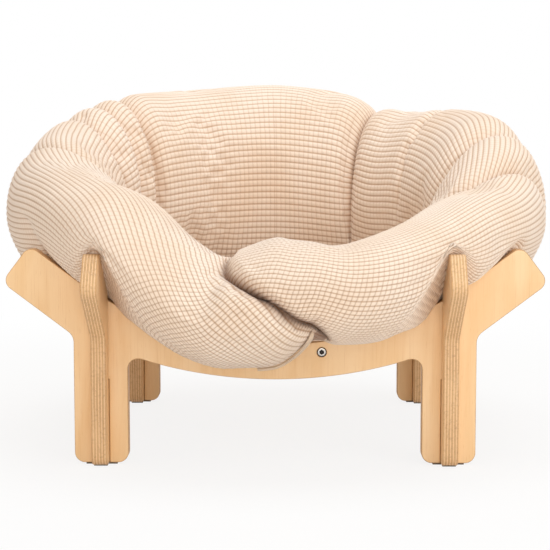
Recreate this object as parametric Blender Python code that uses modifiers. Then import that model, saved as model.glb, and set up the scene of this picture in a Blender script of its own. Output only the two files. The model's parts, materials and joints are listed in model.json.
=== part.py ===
"""Raised cat bed: four slotted plywood panels carry a board and a round bolster cushion.

Metres, +Z up. The origin is on the floor under the middle of the bed, and -Y is the front.
"""

import math

import bmesh
import bpy
import numpy as np

# Plywood frame
PLY = 0.015                    # thickness of every panel and of the board
LEG_SPACING = 0.335            # between the centre lines of the legs, both ways
LEG_WIDTH = 0.052
FOOT_RADIUS = 0.010            # rounded corners at the bottom of a leg
CRADLE_LOW = 0.117             # lowest point of the curved top edge
CRADLE_RADIUS = 0.323          # curve of the top edge
ARM_ANGLE = math.radians(37.0)
ARM_WIDTH = 0.045
ARM_REACH = 0.294              # length of the straight run of an arm, from the middle line
TIP_RADIUS = 0.010
ELBOW_RADIUS = 0.013           # where the arm runs down into the leg
BELLY_DEPTH = 0.034            # height of a panel at its middle
BELLY_RADIUS = 0.440           # curve of the bottom edge
ARCH_RADIUS = 0.010            # corner between the bottom edge and the leg
EDGE_EASE = 0.0008             # small chamfer along every plywood edge

# Seat board and its fasteners
BOARD_WIDTH = 0.200
BOARD_DROP = 0.0               # board's top face below the lowest point of the cradle
BOARD_CORNER = 0.008
BOLT_SPACING = 0.090
BOLT_DIAMETER = 0.005
BOLT_LENGTH = 0.034            # under the head
HEAD_DIAMETER = 0.0085
HEAD_HEIGHT = 0.005
HEAD_CHAMFER = 0.0005
HEAD_SINK = 0.0004             # head's face below the face of the panel
SOCKET_WIDTH = 0.004           # across the flats of the hexagon
SOCKET_DEPTH = 0.0025
NUT_DIAMETER = 0.008
NUT_LENGTH = 0.012
NUT_OVERHANG = 0.006           # end of the bolt past the middle of its nut

# Foot pads
PAD_THICKNESS = 0.0012
PAD_INSET = 0.001              # inside the edge of the foot

# Cushion, with heights taken from the lowest point of the cradle
RING_RADIUS = 0.222            # from the middle of the bed to the middle of the bolster
RING_COLUMNS = 60
RING_ROWS = 20
SEAT_RADIUS = 0.155            # of the seat pad's rim at the front
SEAT_TUCK = 0.034              # by which it is larger at the back
SEAT_CROWN = 0.0425            # top of the seat pad over the board
SEAT_EDGE = 0.018              # middle of its rim over the board
BINDING_RADIUS = 0.0020
BINDING_POINTS = 9
PANEL_BITE = 0.003             # depth to which the panels' edges press into the bolster
DRAPE_SLOPE = 1.7              # fall of its underside away from a panel
CORNER_SPAN = 0.006            # from the panels' crossing to where the fabric spans their corner
CORNER_HOLD = 0.85             # share of the fall that the fabric doesn't have there
RIM_LIFT = 0.010               # least height of its outer rim over its underside
DRAPE_ROUNDING = 0.006         # softness of the bend where the underside leaves a panel

# Clearances
GAP = 0.0003                   # between pieces that touch
SLOT_PLAY = 0.0003             # on each side of a panel in its slot
HOLE_PLAY = 0.0003             # all round a bolt or a nut
COUNTERBORE_PLAY = 0.0005
NOTCH_PLAY = 0.0005            # between a panel's faces and the cushion
NOTCH_STEP = 0.0002            # more over the side panels, so that the notches cross cleanly
SOFT_PLAY = 0.0015             # between the bolster and the seat pad
BINDING_PLAY = 0.0036          # between the bolster and its binding

# Worked out from the sizes above
LEG_CENTRE = LEG_SPACING / 2
LEG_INNER = LEG_CENTRE - LEG_WIDTH / 2
LEG_OUTER = LEG_CENTRE + LEG_WIDTH / 2
FOOT_LEVEL = PAD_THICKNESS + GAP
BELLY_LOW = CRADLE_LOW - BELLY_DEPTH
SLOT_WIDTH = PLY + 2 * SLOT_PLAY
BOARD_TOP = CRADLE_LOW - BOARD_DROP
BOARD_LEVEL = BOARD_TOP - PLY / 2
BOARD_LENGTH = LEG_SPACING - PLY - 2 * GAP
COUNTERBORE_DEPTH = HEAD_HEIGHT + HEAD_SINK + GAP

# The bolster's section round the ring: the angle from the front towards the right in degrees, the
# change of radius, the top, the underside, half of the width, the lift of the outer rim and the
# taper of the outer underside.
BOLSTER_SECTIONS = (
    (0, 0.000, 0.104, -0.012, 0.064, 0.000, 0.0),
    (4, 0.001, 0.104, -0.003, 0.064, 0.000, 0.0),
    (8, 0.001, 0.103, 0.009, 0.065, 0.000, 0.0),
    (15, 0.001, 0.101, 0.007, 0.066, 0.002, 0.0),
    (24, 0.000, 0.107, 0.007, 0.066, 0.008, 0.0),
    (35, -0.002, 0.120, 0.015, 0.066, 0.014, 0.0),
    (46, -0.002, 0.136, 0.028, 0.066, 0.018, 0.1),
    (60, 0.000, 0.154, 0.028, 0.065, 0.018, 0.4),
    (90, -0.002, 0.213, 0.012, 0.062, 0.008, 0.6),
    (120, -0.002, 0.228, 0.016, 0.065, 0.000, 0.3),
    (137, -0.001, 0.226, 0.018, 0.067, 0.000, 0.2),
    (150, 0.000, 0.241, 0.020, 0.068, 0.000, 0.1),
    (180, -0.005, 0.259, 0.022, 0.068, 0.000, 0.1),
    (210, 0.000, 0.250, 0.021, 0.068, 0.000, 0.1),
    (232, -0.001, 0.243, 0.018, 0.067, 0.000, 0.2),
    (248, -0.002, 0.231, 0.016, 0.064, 0.000, 0.3),
    (270, -0.002, 0.206, 0.012, 0.062, 0.008, 0.6),
    (300, -0.001, 0.171, 0.030, 0.065, 0.018, 0.4),
    (314, -0.001, 0.155, 0.034, 0.067, 0.018, 0.1),
    (325, -0.001, 0.142, 0.019, 0.068, 0.014, 0.0),
    (337, -0.002, 0.104, -0.004, 0.067, 0.008, 0.0),
    (349, -0.001, 0.085, -0.014, 0.066, 0.000, 0.0),
)

# Creases across the bolster, all angles in degrees: the angle of the crease's column, how far it
# leans from there at the outer side, how far it is turned ahead at the top and back at the
# underside, then its depth and half of its width.
BOLSTER_CREASES = (
    (-120, -2, 0, 0.012, 5.0),
    (-104, -5, 0, 0.012, 4.5),
    (-75, -13, 2, 0.014, 4.5),
    (3, -4, -14, 0.020, 4.5),
    (65, 15, -2, 0.012, 4.5),
    (86, 5, 0, 0.012, 4.5),
    (149, -1, 0, 0.015, 4.5),
)

# The binding's way over the bolster: angles round the ring and round its section, in degrees.
BINDING_PATH = (
    (1, -45), (-1.5, -55), (-3.5, -64), (-6, -72), (-8.5, -78), (-12, -81), (-16, -80),
)


def clear_scene():
    """Remove whatever the scene holds."""
    for obj in list(bpy.data.objects):
        bpy.data.objects.remove(obj, do_unlink=True)


def make_collection(name):
    collection = bpy.data.collections.new(name)
    bpy.context.scene.collection.children.link(collection)
    return collection


def make_material(name, colour, roughness, metallic=0.0):
    material = bpy.data.materials.new(name)
    material.use_nodes = True
    shader = material.node_tree.nodes["Principled BSDF"]
    shader.inputs["Base Color"].default_value = (*colour, 1.0)
    shader.inputs["Roughness"].default_value = roughness
    shader.inputs["Metallic"].default_value = metallic
    return material


def place(mesh, name, collection, material=None, location=(0, 0, 0), rotation=(0, 0, 0)):
    """Put a mesh in the scene as one named object."""
    obj = bpy.data.objects.new(name, mesh)
    obj.location = location
    obj.rotation_euler = rotation
    collection.objects.link(obj)
    if material is not None:
        mesh.materials.clear()
        mesh.materials.append(material)
    return obj


def mark_cutter(obj):
    obj.hide_render = True
    obj.display_type = "WIRE"
    return obj


def smooth(obj, angle=35.0):
    obj.data.shade_smooth()
    obj.data.set_sharp_from_angle(angle=math.radians(angle))


# Flat outlines


def rounded(corners, step=math.radians(15.0)):
    """Replace each corner (x, y, radius) of a closed outline by an arc of its radius."""
    points = []
    count = len(corners)
    for index, (x, y, radius) in enumerate(corners):
        if radius <= 0:
            points.append((x, y))
            continue
        corner = np.array((x, y))
        back = np.array(corners[index - 1][:2]) - corner
        ahead = np.array(corners[(index + 1) % count][:2]) - corner
        back /= np.linalg.norm(back)
        ahead /= np.linalg.norm(ahead)
        opening = math.acos(np.clip(back @ ahead, -1.0, 1.0))
        bisector = (back + ahead) / np.linalg.norm(back + ahead)
        centre = corner + bisector * radius / math.sin(opening / 2)
        start = corner + back * radius / math.tan(opening / 2) - centre
        end = corner + ahead * radius / math.tan(opening / 2) - centre
        first = math.atan2(start[1], start[0])
        sweep = (math.atan2(end[1], end[0]) - first + math.pi) % (2 * math.pi) - math.pi
        segments = max(2, math.ceil(abs(sweep) / step))
        for turn in np.linspace(first, first + sweep, segments + 1):
            points.append((centre[0] + radius * math.cos(turn), centre[1] + radius * math.sin(turn)))
    return points


def flat_mesh(name, outline, thickness):
    """Closed mesh of a flat outline in the XY plane, from a filled 2D curve."""
    curve = bpy.data.curves.new(name, "CURVE")
    curve.dimensions = "2D"
    curve.fill_mode = "BOTH"
    curve.extrude = thickness / 2
    spline = curve.splines.new("POLY")
    spline.points.add(len(outline) - 1)
    for point, (x, y) in zip(spline.points, outline):
        point.co = (x, y, 0.0, 1.0)
    spline.use_cyclic_u = True
    obj = bpy.data.objects.new(name, curve)
    bpy.context.scene.collection.objects.link(obj)
    bpy.context.view_layer.update()
    evaluated = obj.evaluated_get(bpy.context.evaluated_depsgraph_get())
    mesh = bpy.data.meshes.new_from_object(evaluated)
    bpy.data.objects.remove(obj)
    bpy.data.curves.remove(curve)
    work = bmesh.new()
    work.from_mesh(mesh)
    bmesh.ops.remove_doubles(work, verts=work.verts, dist=1e-6)
    bmesh.ops.recalc_face_normals(work, faces=work.faces)
    work.to_mesh(mesh)
    work.free()
    return mesh


def ease_edges(obj, width=EDGE_EASE):
    """Small chamfer on the edges between a flat face and the edge of the plywood."""
    bevel = obj.modifiers.new("eased_edges", "BEVEL")
    bevel.width = width
    bevel.segments = 1
    bevel.limit_method = "ANGLE"
    bevel.angle_limit = math.radians(60.0)


def cut(obj, cutter, solver="EXACT"):
    boolean = obj.modifiers.new("cut_" + cutter.name, "BOOLEAN")
    boolean.operation = "DIFFERENCE"
    boolean.solver = solver
    boolean.object = cutter


def cut_notches(obj, notches):
    """Cut all the notches from a form whose faces are first made flat triangles.

    The notches' long thin walls leave cracks with the exact solver.
    """
    obj.modifiers.new("flat_faces", "TRIANGULATE")
    for notch in notches:
        cut(obj, notch, "MANIFOLD")


# The panels' outline


def cradle_height(s):
    """Height of the top edge at a distance s from the panel's middle: an arc, then a straight."""
    s = np.abs(s)
    tangent = CRADLE_RADIUS * math.sin(ARM_ANGLE)
    arc = np.sqrt(CRADLE_RADIUS ** 2 - np.minimum(s, tangent) ** 2)
    return CRADLE_LOW + CRADLE_RADIUS - arc + np.maximum(s - tangent, 0.0) * math.tan(ARM_ANGLE)


def belly_height(s):
    return BELLY_LOW + BELLY_RADIUS - np.sqrt(BELLY_RADIUS ** 2 - np.square(s))


def arm_tip():
    """The arm's top and bottom corner at its free end."""
    along = np.array((math.cos(ARM_ANGLE), math.sin(ARM_ANGLE)))
    across = np.array((along[1], -along[0]))
    foot = np.array((0.0, cradle_height(CRADLE_RADIUS)
                     - CRADLE_RADIUS * math.tan(ARM_ANGLE)))
    top = foot + along * ARM_REACH
    return top, top + across * ARM_WIDTH


def panel_outline(slot_below):
    """Outline of a panel, with half-lap slots at the legs that open downwards or upwards."""
    lap = (FOOT_LEVEL + cradle_height(LEG_CENTRE)) / 2
    slot = (LEG_CENTRE - SLOT_WIDTH / 2, LEG_CENTRE + SLOT_WIDTH / 2)
    top, bottom = arm_tip()
    elbow = bottom[1] - (bottom[0] - LEG_OUTER) * math.tan(ARM_ANGLE)
    arch_start = LEG_INNER - 1.8 * ARCH_RADIUS
    half = [(s, belly_height(s), 0.0) for s in np.linspace(0.0, arch_start, 10)]
    half.append((LEG_INNER, belly_height(LEG_INNER), ARCH_RADIUS))
    half.append((LEG_INNER, FOOT_LEVEL, FOOT_RADIUS))
    if slot_below:
        half += [(slot[0], FOOT_LEVEL, 0.0), (slot[0], lap + GAP / 2, 0.0),
                 (slot[1], lap + GAP / 2, 0.0), (slot[1], FOOT_LEVEL, 0.0)]
    half += [(LEG_OUTER, FOOT_LEVEL, FOOT_RADIUS), (LEG_OUTER, elbow, ELBOW_RADIUS),
             (*bottom, TIP_RADIUS), (*top, TIP_RADIUS)]
    edge = list(np.linspace(CRADLE_RADIUS * math.sin(ARM_ANGLE), 0.0, 17))
    if slot_below:
        half += [(s, cradle_height(s), 0.0) for s in edge]
    else:
        half += [(s, cradle_height(s), 0.0) for s in edge if s > slot[1] + GAP]
        half += [(slot[1], cradle_height(slot[1]), 0.0), (slot[1], lap - GAP / 2, 0.0),
                 (slot[0], lap - GAP / 2, 0.0), (slot[0], cradle_height(slot[0]), 0.0)]
        half += [(s, cradle_height(s), 0.0) for s in edge if s < slot[0] - GAP]
    other = [(-s, z, radius) for s, z, radius in reversed(half[1:-1])]
    return rounded(half + other)


# Panels: name, half-lap slots open downwards, location of the middle plane, turn about Z
UPRIGHT = math.radians(90.0)
PANELS = (
    ("front_panel", True, (0.0, -LEG_CENTRE, 0.0), 0.0),
    ("rear_panel", True, (0.0, LEG_CENTRE, 0.0), 0.0),
    ("left_panel", False, (-LEG_CENTRE, 0.0, 0.0), UPRIGHT),
    ("right_panel", False, (LEG_CENTRE, 0.0, 0.0), UPRIGHT),
)


def build_panels(parts, wood):
    panels = {}
    for name, slot_below, location, turn in PANELS:
        mesh = flat_mesh(name, panel_outline(slot_below), PLY)
        panel = place(mesh, name, parts, wood, location, (UPRIGHT, 0.0, turn))
        ease_edges(panel)
        panels[name] = panel
    return panels


def build_board(parts, wood):
    """Seat board between the front and the rear panel."""
    x, y = BOARD_WIDTH / 2, BOARD_LENGTH / 2
    corners = [(-x, -y, BOARD_CORNER), (x, -y, BOARD_CORNER), (x, y, BOARD_CORNER),
               (-x, y, BOARD_CORNER)]
    board = place(flat_mesh("seat_board", rounded(corners), PLY), "seat_board", parts, wood,
                  (0.0, 0.0, BOARD_LEVEL))
    ease_edges(board)
    return board


# Turned pieces


def turned_mesh(name, profile, steps=24):
    """Closed mesh of a profile (radius, height) that runs from the top to the bottom."""
    mesh = bpy.data.meshes.new(name)
    edges = [(k, k + 1) for k in range(len(profile) - 1)]
    mesh.from_pydata([(r, 0.0, z) for r, z in profile], edges, [])
    obj = bpy.data.objects.new(name, mesh)
    bpy.context.scene.collection.objects.link(obj)
    screw = obj.modifiers.new("turn", "SCREW")
    screw.steps = steps
    screw.render_steps = steps
    screw.use_merge_vertices = True
    screw.merge_threshold = 1e-6
    bpy.context.view_layer.update()
    evaluated = obj.evaluated_get(bpy.context.evaluated_depsgraph_get())
    turned = bpy.data.meshes.new_from_object(evaluated)
    turned.name = name
    bpy.data.objects.remove(obj)
    bpy.data.meshes.remove(mesh)
    return turned


def cylinder_cutter(name, cutters, radius, bottom, top, vertices=24):
    """Cylinder along its own Z, from bottom to top."""
    mesh = bpy.data.meshes.new(name)
    work = bmesh.new()
    bmesh.ops.create_cone(work, cap_ends=True, segments=vertices, radius1=radius,
                          radius2=radius, depth=top - bottom)
    bmesh.ops.translate(work, verts=work.verts, vec=(0.0, 0.0, (top + bottom) / 2))
    work.to_mesh(mesh)
    work.free()
    return mark_cutter(place(mesh, name, cutters))


def bolt_mesh():
    """Socket head screw, with its head's face at z = 0 and its shank pointing down."""
    head = HEAD_DIAMETER / 2
    shank = BOLT_DIAMETER / 2
    end = -HEAD_HEIGHT - BOLT_LENGTH
    profile = [(0.0, 0.0), (head - HEAD_CHAMFER, 0.0), (head, -HEAD_CHAMFER),
               (head, -HEAD_HEIGHT), (shank, -HEAD_HEIGHT), (shank, end + HEAD_CHAMFER),
               (shank - HEAD_CHAMFER, end), (0.0, end)]
    return turned_mesh("bolt", profile)


def nut_mesh():
    """Barrel nut about its own Z, centred on the origin."""
    radius = NUT_DIAMETER / 2
    half = NUT_LENGTH / 2
    profile = [(0.0, half), (radius - HEAD_CHAMFER, half), (radius, half - HEAD_CHAMFER),
               (radius, HEAD_CHAMFER - half), (radius - HEAD_CHAMFER, -half), (0.0, -half)]
    return turned_mesh("nut", profile)


def build_fasteners(parts, cutters, panels, board, steel, zinc):
    """Four screws through the front and rear panels into barrel nuts in the board."""
    for side, sign, panel in (("front", -1.0, panels["front_panel"]),
                              ("rear", 1.0, panels["rear_panel"])):
        for hand, x in (("left", -BOLT_SPACING / 2), ("right", BOLT_SPACING / 2)):
            tag = f"{side}_{hand}"
            face = sign * (LEG_CENTRE + PLY / 2)
            head = (x, face - sign * HEAD_SINK, BOARD_LEVEL)
            out = (-sign * UPRIGHT, 0.0, 0.0)

            bolt = place(bolt_mesh(), f"bolt_{tag}", parts, steel, head, out)
            socket = cylinder_cutter(f"socket_{tag}", cutters, SOCKET_WIDTH / math.sqrt(3.0),
                                     -SOCKET_DEPTH, SOCKET_DEPTH, 6)
            socket.location = head
            socket.rotation_euler = out
            cut(bolt, socket)
            smooth(bolt)

            bore = cylinder_cutter(f"bolt_hole_{tag}", cutters,
                                   BOLT_DIAMETER / 2 + HOLE_PLAY,
                                   -HEAD_HEIGHT - BOLT_LENGTH - 4 * GAP, PLY)
            bore.location = head
            bore.rotation_euler = out
            counterbore = cylinder_cutter(f"counterbore_{tag}", cutters,
                                          HEAD_DIAMETER / 2 + COUNTERBORE_PLAY,
                                          -COUNTERBORE_DEPTH, COUNTERBORE_DEPTH)
            counterbore.location = (x, face, BOARD_LEVEL)
            counterbore.rotation_euler = out
            cut(panel, bore)
            cut(panel, counterbore)
            cut(board, bore)

            nut_y = face - sign * (HEAD_SINK + HEAD_HEIGHT + BOLT_LENGTH - NUT_OVERHANG)
            nut = place(nut_mesh(), f"barrel_nut_{tag}", parts, zinc, (x, nut_y, BOARD_LEVEL))
            cut(nut, bore)
            smooth(nut)
            nut_hole = cylinder_cutter(f"nut_hole_{tag}", cutters,
                                       NUT_DIAMETER / 2 + HOLE_PLAY, -PLY,
                                       NUT_LENGTH / 2 + GAP)
            nut_hole.location = (x, nut_y, BOARD_LEVEL)
            cut(board, nut_hole)


def build_foot_pads(parts, felt):
    """One cross-shaped pad under the crossed feet of each corner."""
    reach = LEG_WIDTH / 2 - FOOT_RADIUS - PAD_INSET
    half = PLY / 2 - PAD_INSET
    outline = [(half, -reach), (half, -half), (reach, -half), (reach, half), (half, half),
               (half, reach), (-half, reach), (-half, half), (-reach, half), (-reach, -half),
               (-half, -half), (-half, -reach)]
    for name, x, y in (("front_left", -1, -1), ("front_right", 1, -1),
                       ("rear_left", -1, 1), ("rear_right", 1, 1)):
        place(flat_mesh("foot_pad", outline, PAD_THICKNESS), f"foot_pad_{name}", parts, felt,
              (x * LEG_CENTRE, y * LEG_CENTRE, PAD_THICKNESS / 2))


# Cushion


def drape_height(x, y):
    """Lowest level of the fabric over a point, from the cradle's low point.

    The fabric lies on the board and over the panels' top edges, which press into it, and falls
    away from them, but hardly in the corners between two arms, where it spans from one to the
    other.
    """
    reach = arm_tip()[0][0]
    levels = []
    for along, away in ((np.abs(x), np.abs(y)), (np.abs(y), np.abs(x))):
        edge = cradle_height(np.minimum(along, reach)) - CRADLE_LOW
        beside = np.maximum(np.abs(away - LEG_CENTRE) - PLY / 2, 0.0)
        outside = np.minimum(along + CORNER_SPAN, away) - LEG_CENTRE + CORNER_SPAN
        corner = np.clip(outside / (2 * CORNER_SPAN), 0.0, 1.0)
        fall = PANEL_BITE + DRAPE_SLOPE * beside
        levels.append(edge - fall * (1.0 - CORNER_HOLD * corner))
    beyond_board = np.maximum(np.maximum(np.abs(x) - BOARD_WIDTH / 2, np.abs(y) - LEG_CENTRE), 0.0)
    levels.append(BOARD_TOP - CRADLE_LOW + GAP - DRAPE_SLOPE * beyond_board)
    return np.maximum.reduce(levels)


def section_value(column, angle):
    """Smooth periodic curve through one column of the bolster's sections."""
    stations = np.array([row[0] for row in BOLSTER_SECTIONS], float)
    values = np.array([row[column] for row in BOLSTER_SECTIONS], float)
    count = len(stations)
    turn = np.degrees(angle) % 360.0
    k = (np.searchsorted(stations, turn, side="right") - 1) % count
    before, after, beyond = (k - 1) % count, (k + 1) % count, (k + 2) % count
    length = (stations[after] - stations[k]) % 360.0
    t = ((turn - stations[k]) % 360.0) / length
    slope_here = (values[after] - values[before]) / ((stations[after] - stations[before]) % 360.0)
    slope_next = (values[beyond] - values[k]) / ((stations[beyond] - stations[k]) % 360.0)
    return ((2 * t ** 3 - 3 * t ** 2 + 1) * values[k] + (t ** 3 - 2 * t ** 2 + t) * length * slope_here
            + (3 * t ** 2 - 2 * t ** 3) * values[after] + (t ** 3 - t ** 2) * length * slope_next)


def column_angle(column, around):
    """Angle round the ring of a column, which leans and turns with the creases beside it."""
    middles, leans, turns = (list(values) for values in list(zip(*BOLSTER_CREASES))[:3])
    lean = np.radians(np.interp(np.degrees(column), middles, leans, period=360.0))
    turn = np.radians(np.interp(np.degrees(column), middles, turns, period=360.0))
    return column + lean * np.cos(around) + turn * np.sin(around)


def crease_depth(column, around):
    """Depth of all creases at a column of the ring and an angle round its section."""
    depth = np.zeros(np.broadcast(column, around).shape)
    for middle, _, _, deep, width in BOLSTER_CREASES:
        away = (np.degrees(column) - middle + 180.0) % 360.0 - 180.0
        depth += deep * np.exp(-np.square(away / width))
    above = np.clip(0.75 + np.sin(around), 0.0, 1.0)
    return depth * above


def soft_maximum(a, b):
    """The larger of two levels, rounded where they meet."""
    return (a + b + np.sqrt(np.square(a - b) + DRAPE_ROUNDING ** 2)) / 2


def bolster_surface(column, around):
    """Point of the bolster at a column of the ring and an angle round its section.

    Each section is an ellipse whose underside is tapered on its outer side, and flattened where
    the fabric lies on the panels.
    """
    angle = column_angle(column, around)
    radius = RING_RADIUS + section_value(1, angle)
    top, under, half_width = (section_value(value, angle) for value in (2, 3, 4))
    pinch = crease_depth(column, around)
    below = np.where(np.cos(around) > 0.0, np.minimum(np.sin(around), 0.0), 0.0)
    taper = 1.0 - section_value(6, angle) * np.square(below)
    r = radius + (half_width - pinch) * np.cos(around) * taper
    z = (top + under) / 2 + ((top - under) / 2 - pinch) * np.sin(around)
    z += section_value(5, angle) * np.cos(around)
    x, y = r * np.sin(angle), -r * np.cos(angle)
    return x, y, soft_maximum(z, drape_height(x, y) + RIM_LIFT * (1.0 + np.sin(around)))


def build_notches(cutters):
    """Cutters of the room that the panels and the board take in the cushion, open downwards."""
    _, bottom = arm_tip()
    s = np.linspace(-bottom[0] - TIP_RADIUS, bottom[0] + TIP_RADIUS, 38)
    notches = []
    for name, slot_below, location, turn in PANELS:
        room = GAP if slot_below else GAP + NOTCH_STEP
        outline = [(a, cradle_height(a) + room) for a in s] + [(s[-1], 0.0), (s[0], 0.0)]
        mesh = flat_mesh("notch_" + name, outline, PLY + 2 * NOTCH_PLAY)
        notch = place(mesh, "notch_" + name, cutters, None, location, (UPRIGHT, 0.0, turn))
        notches.append(mark_cutter(notch))
    x = BOARD_WIDTH / 2 + NOTCH_PLAY
    corners = [(-x, -LEG_CENTRE), (x, -LEG_CENTRE), (x, LEG_CENTRE), (-x, LEG_CENTRE)]
    over_board = place(flat_mesh("notch_seat_board", corners, 2 * PLY), "notch_seat_board", cutters,
                       None, (0.0, 0.0, BOARD_TOP + GAP - PLY))
    notches.append(mark_cutter(over_board))
    return notches


def build_bolster(parts, notches, fabric, carrier):
    """Ring cushion, with a notch over each panel so that it lifts straight off."""
    bpy.ops.mesh.primitive_torus_add(major_segments=RING_COLUMNS, minor_segments=RING_ROWS,
                                     major_radius=RING_RADIUS, minor_radius=RING_RADIUS / 4)
    source = bpy.context.object
    mesh = source.data
    co = np.empty(len(mesh.vertices) * 3)
    mesh.vertices.foreach_get("co", co)
    co = co.reshape(-1, 3)
    column = np.arctan2(co[:, 0], -co[:, 1]) + math.pi / RING_COLUMNS
    around = np.arctan2(co[:, 2], np.hypot(co[:, 0], co[:, 1]) - RING_RADIUS)
    mesh.vertices.foreach_set("co", np.stack(bolster_surface(column, around), 1).ravel())
    bpy.data.objects.remove(source)
    bolster = place(mesh, "bolster_ring", parts, fabric)
    bolster.parent = carrier
    smooth(bolster, 60.0)
    cut_notches(bolster, notches)
    return bolster


def build_binding(parts, fabric, carrier):
    """Narrow binding along the rim of the bolster's lower end."""
    knots = np.radians(BINDING_PATH)
    place_on = np.linspace(0.0, len(knots) - 1, BINDING_POINTS)
    column, around = (np.interp(place_on, np.arange(len(knots)), knots[:, k]) for k in (0, 1))
    step = 1e-4
    point = np.stack(bolster_surface(column, around), 1)
    along = np.stack(bolster_surface(column + step, around), 1) - point
    across = np.stack(bolster_surface(column, around + step), 1) - point
    normal = np.cross(along, across)
    normal /= np.linalg.norm(normal, axis=1, keepdims=True)
    curve = bpy.data.curves.new("end_binding", "CURVE")
    curve.dimensions = "3D"
    curve.bevel_depth = BINDING_RADIUS
    curve.bevel_resolution = 2
    curve.use_fill_caps = True
    curve.materials.append(fabric)
    spline = curve.splines.new("POLY")
    spline.points.add(len(point) - 1)
    for knot, place_at in zip(spline.points, point + normal * (BINDING_RADIUS + BINDING_PLAY)):
        knot.co = (*place_at, 1.0)
    binding = bpy.data.objects.new("end_binding", curve)
    binding.parent = carrier
    parts.objects.link(binding)
    return binding


def bolster_underside(x, y):
    """Height of the bolster's lower surface over a point, or a large value inside the ring."""
    angle, r = np.arctan2(x, -y), np.hypot(x, y)
    radius = RING_RADIUS + section_value(1, angle)
    top, under, half_width = (section_value(column, angle) for column in (2, 3, 4))
    share = np.clip((r - radius) / half_width, -1.0, 1.0)
    low = (top + under) / 2 - (top - under) / 2 * np.sqrt(1.0 - share ** 2)
    low += section_value(5, angle) * share
    return np.where(r < radius - half_width, 1.0, low)


def build_seat_pad(parts, notches, fabric, carrier):
    """Crowned pad on the board, whose rim is tucked under the bolster at the sides and the back."""
    work = bmesh.new()
    bmesh.ops.create_uvsphere(work, u_segments=44, v_segments=14, radius=1.0)
    mesh = bpy.data.meshes.new("seat_pad")
    work.to_mesh(mesh)
    work.free()
    co = np.empty(len(mesh.vertices) * 3)
    mesh.vertices.foreach_get("co", co)
    co = co.reshape(-1, 3)
    share = np.minimum(np.hypot(co[:, 0], co[:, 1]), 1.0)
    angle = np.arctan2(co[:, 0], -co[:, 1]) + math.pi / 44
    rim = SEAT_RADIUS + SEAT_TUCK * (1.0 - np.cos(angle)) / 2
    across, ahead = np.sin(angle), -np.cos(angle)
    x, y = rim * share * across, rim * share * ahead
    board = BOARD_TOP - CRADLE_LOW + GAP
    edge = np.minimum(board + SEAT_EDGE, bolster_underside(rim * across, rim * ahead) - SOFT_PLAY)
    crown = edge + (board + SEAT_CROWN - edge) * np.sqrt(1.0 - share ** 3)
    crown = np.minimum(crown, bolster_underside(x, y) - SOFT_PLAY)
    base = edge - 1.4 * SEAT_EDGE * np.sqrt(1.0 - share ** 6)
    base = np.maximum(base, np.maximum(drape_height(x, y), board))
    z = np.where(co[:, 2] > 1e-6, crown, np.where(co[:, 2] < -1e-6, base, edge))
    mesh.vertices.foreach_set("co", np.stack((x, y, z), 1).ravel())
    pad = place(mesh, "seat_pad", parts, fabric)
    pad.parent = carrier
    smooth(pad, 60.0)
    cut_notches(pad, notches)
    return pad


def main():
    clear_scene()
    parts = make_collection("elevated_cat_bed")
    cutters = make_collection("cutters")
    wood = make_material("birch_plywood", (0.86, 0.62, 0.37), 0.45)
    steel = make_material("bright_steel", (0.72, 0.71, 0.69), 0.28, 1.0)
    zinc = make_material("zinc_plate", (0.60, 0.60, 0.58), 0.40, 1.0)
    felt = make_material("grey_felt", (0.22, 0.20, 0.18), 0.95)
    fabric = make_material("cream_corduroy", (0.88, 0.75, 0.60), 0.90)
    trim = make_material("cream_binding", (0.90, 0.79, 0.66), 0.85)
    panels = build_panels(parts, wood)
    board = build_board(parts, wood)
    build_fasteners(parts, cutters, panels, board, steel, zinc)
    build_foot_pads(parts, felt)
    carrier = bpy.data.objects.new("cushion_lift", None)
    carrier.location = (0.0, 0.0, CRADLE_LOW)
    parts.objects.link(carrier)
    notches = build_notches(cutters)
    build_bolster(parts, notches, fabric, carrier)
    build_binding(parts, trim, carrier)
    build_seat_pad(parts, notches[1:4], fabric, carrier)


main()
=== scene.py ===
"""Raised cat bed, dressed: lacquered birch plywood, bright screws and a ribbed cream cushion.

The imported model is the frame. Every new piece is a surface worked out with numpy in metres, in the
same place as the solid that it stands for, and rides on that solid's body.
"""

from __future__ import annotations

import json
import logging
import math
from dataclasses import dataclass, field
from enum import Enum

import bmesh
import bpy
import numpy as np
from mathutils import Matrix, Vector
from mathutils.geometry import tessellate_polygon

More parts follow.
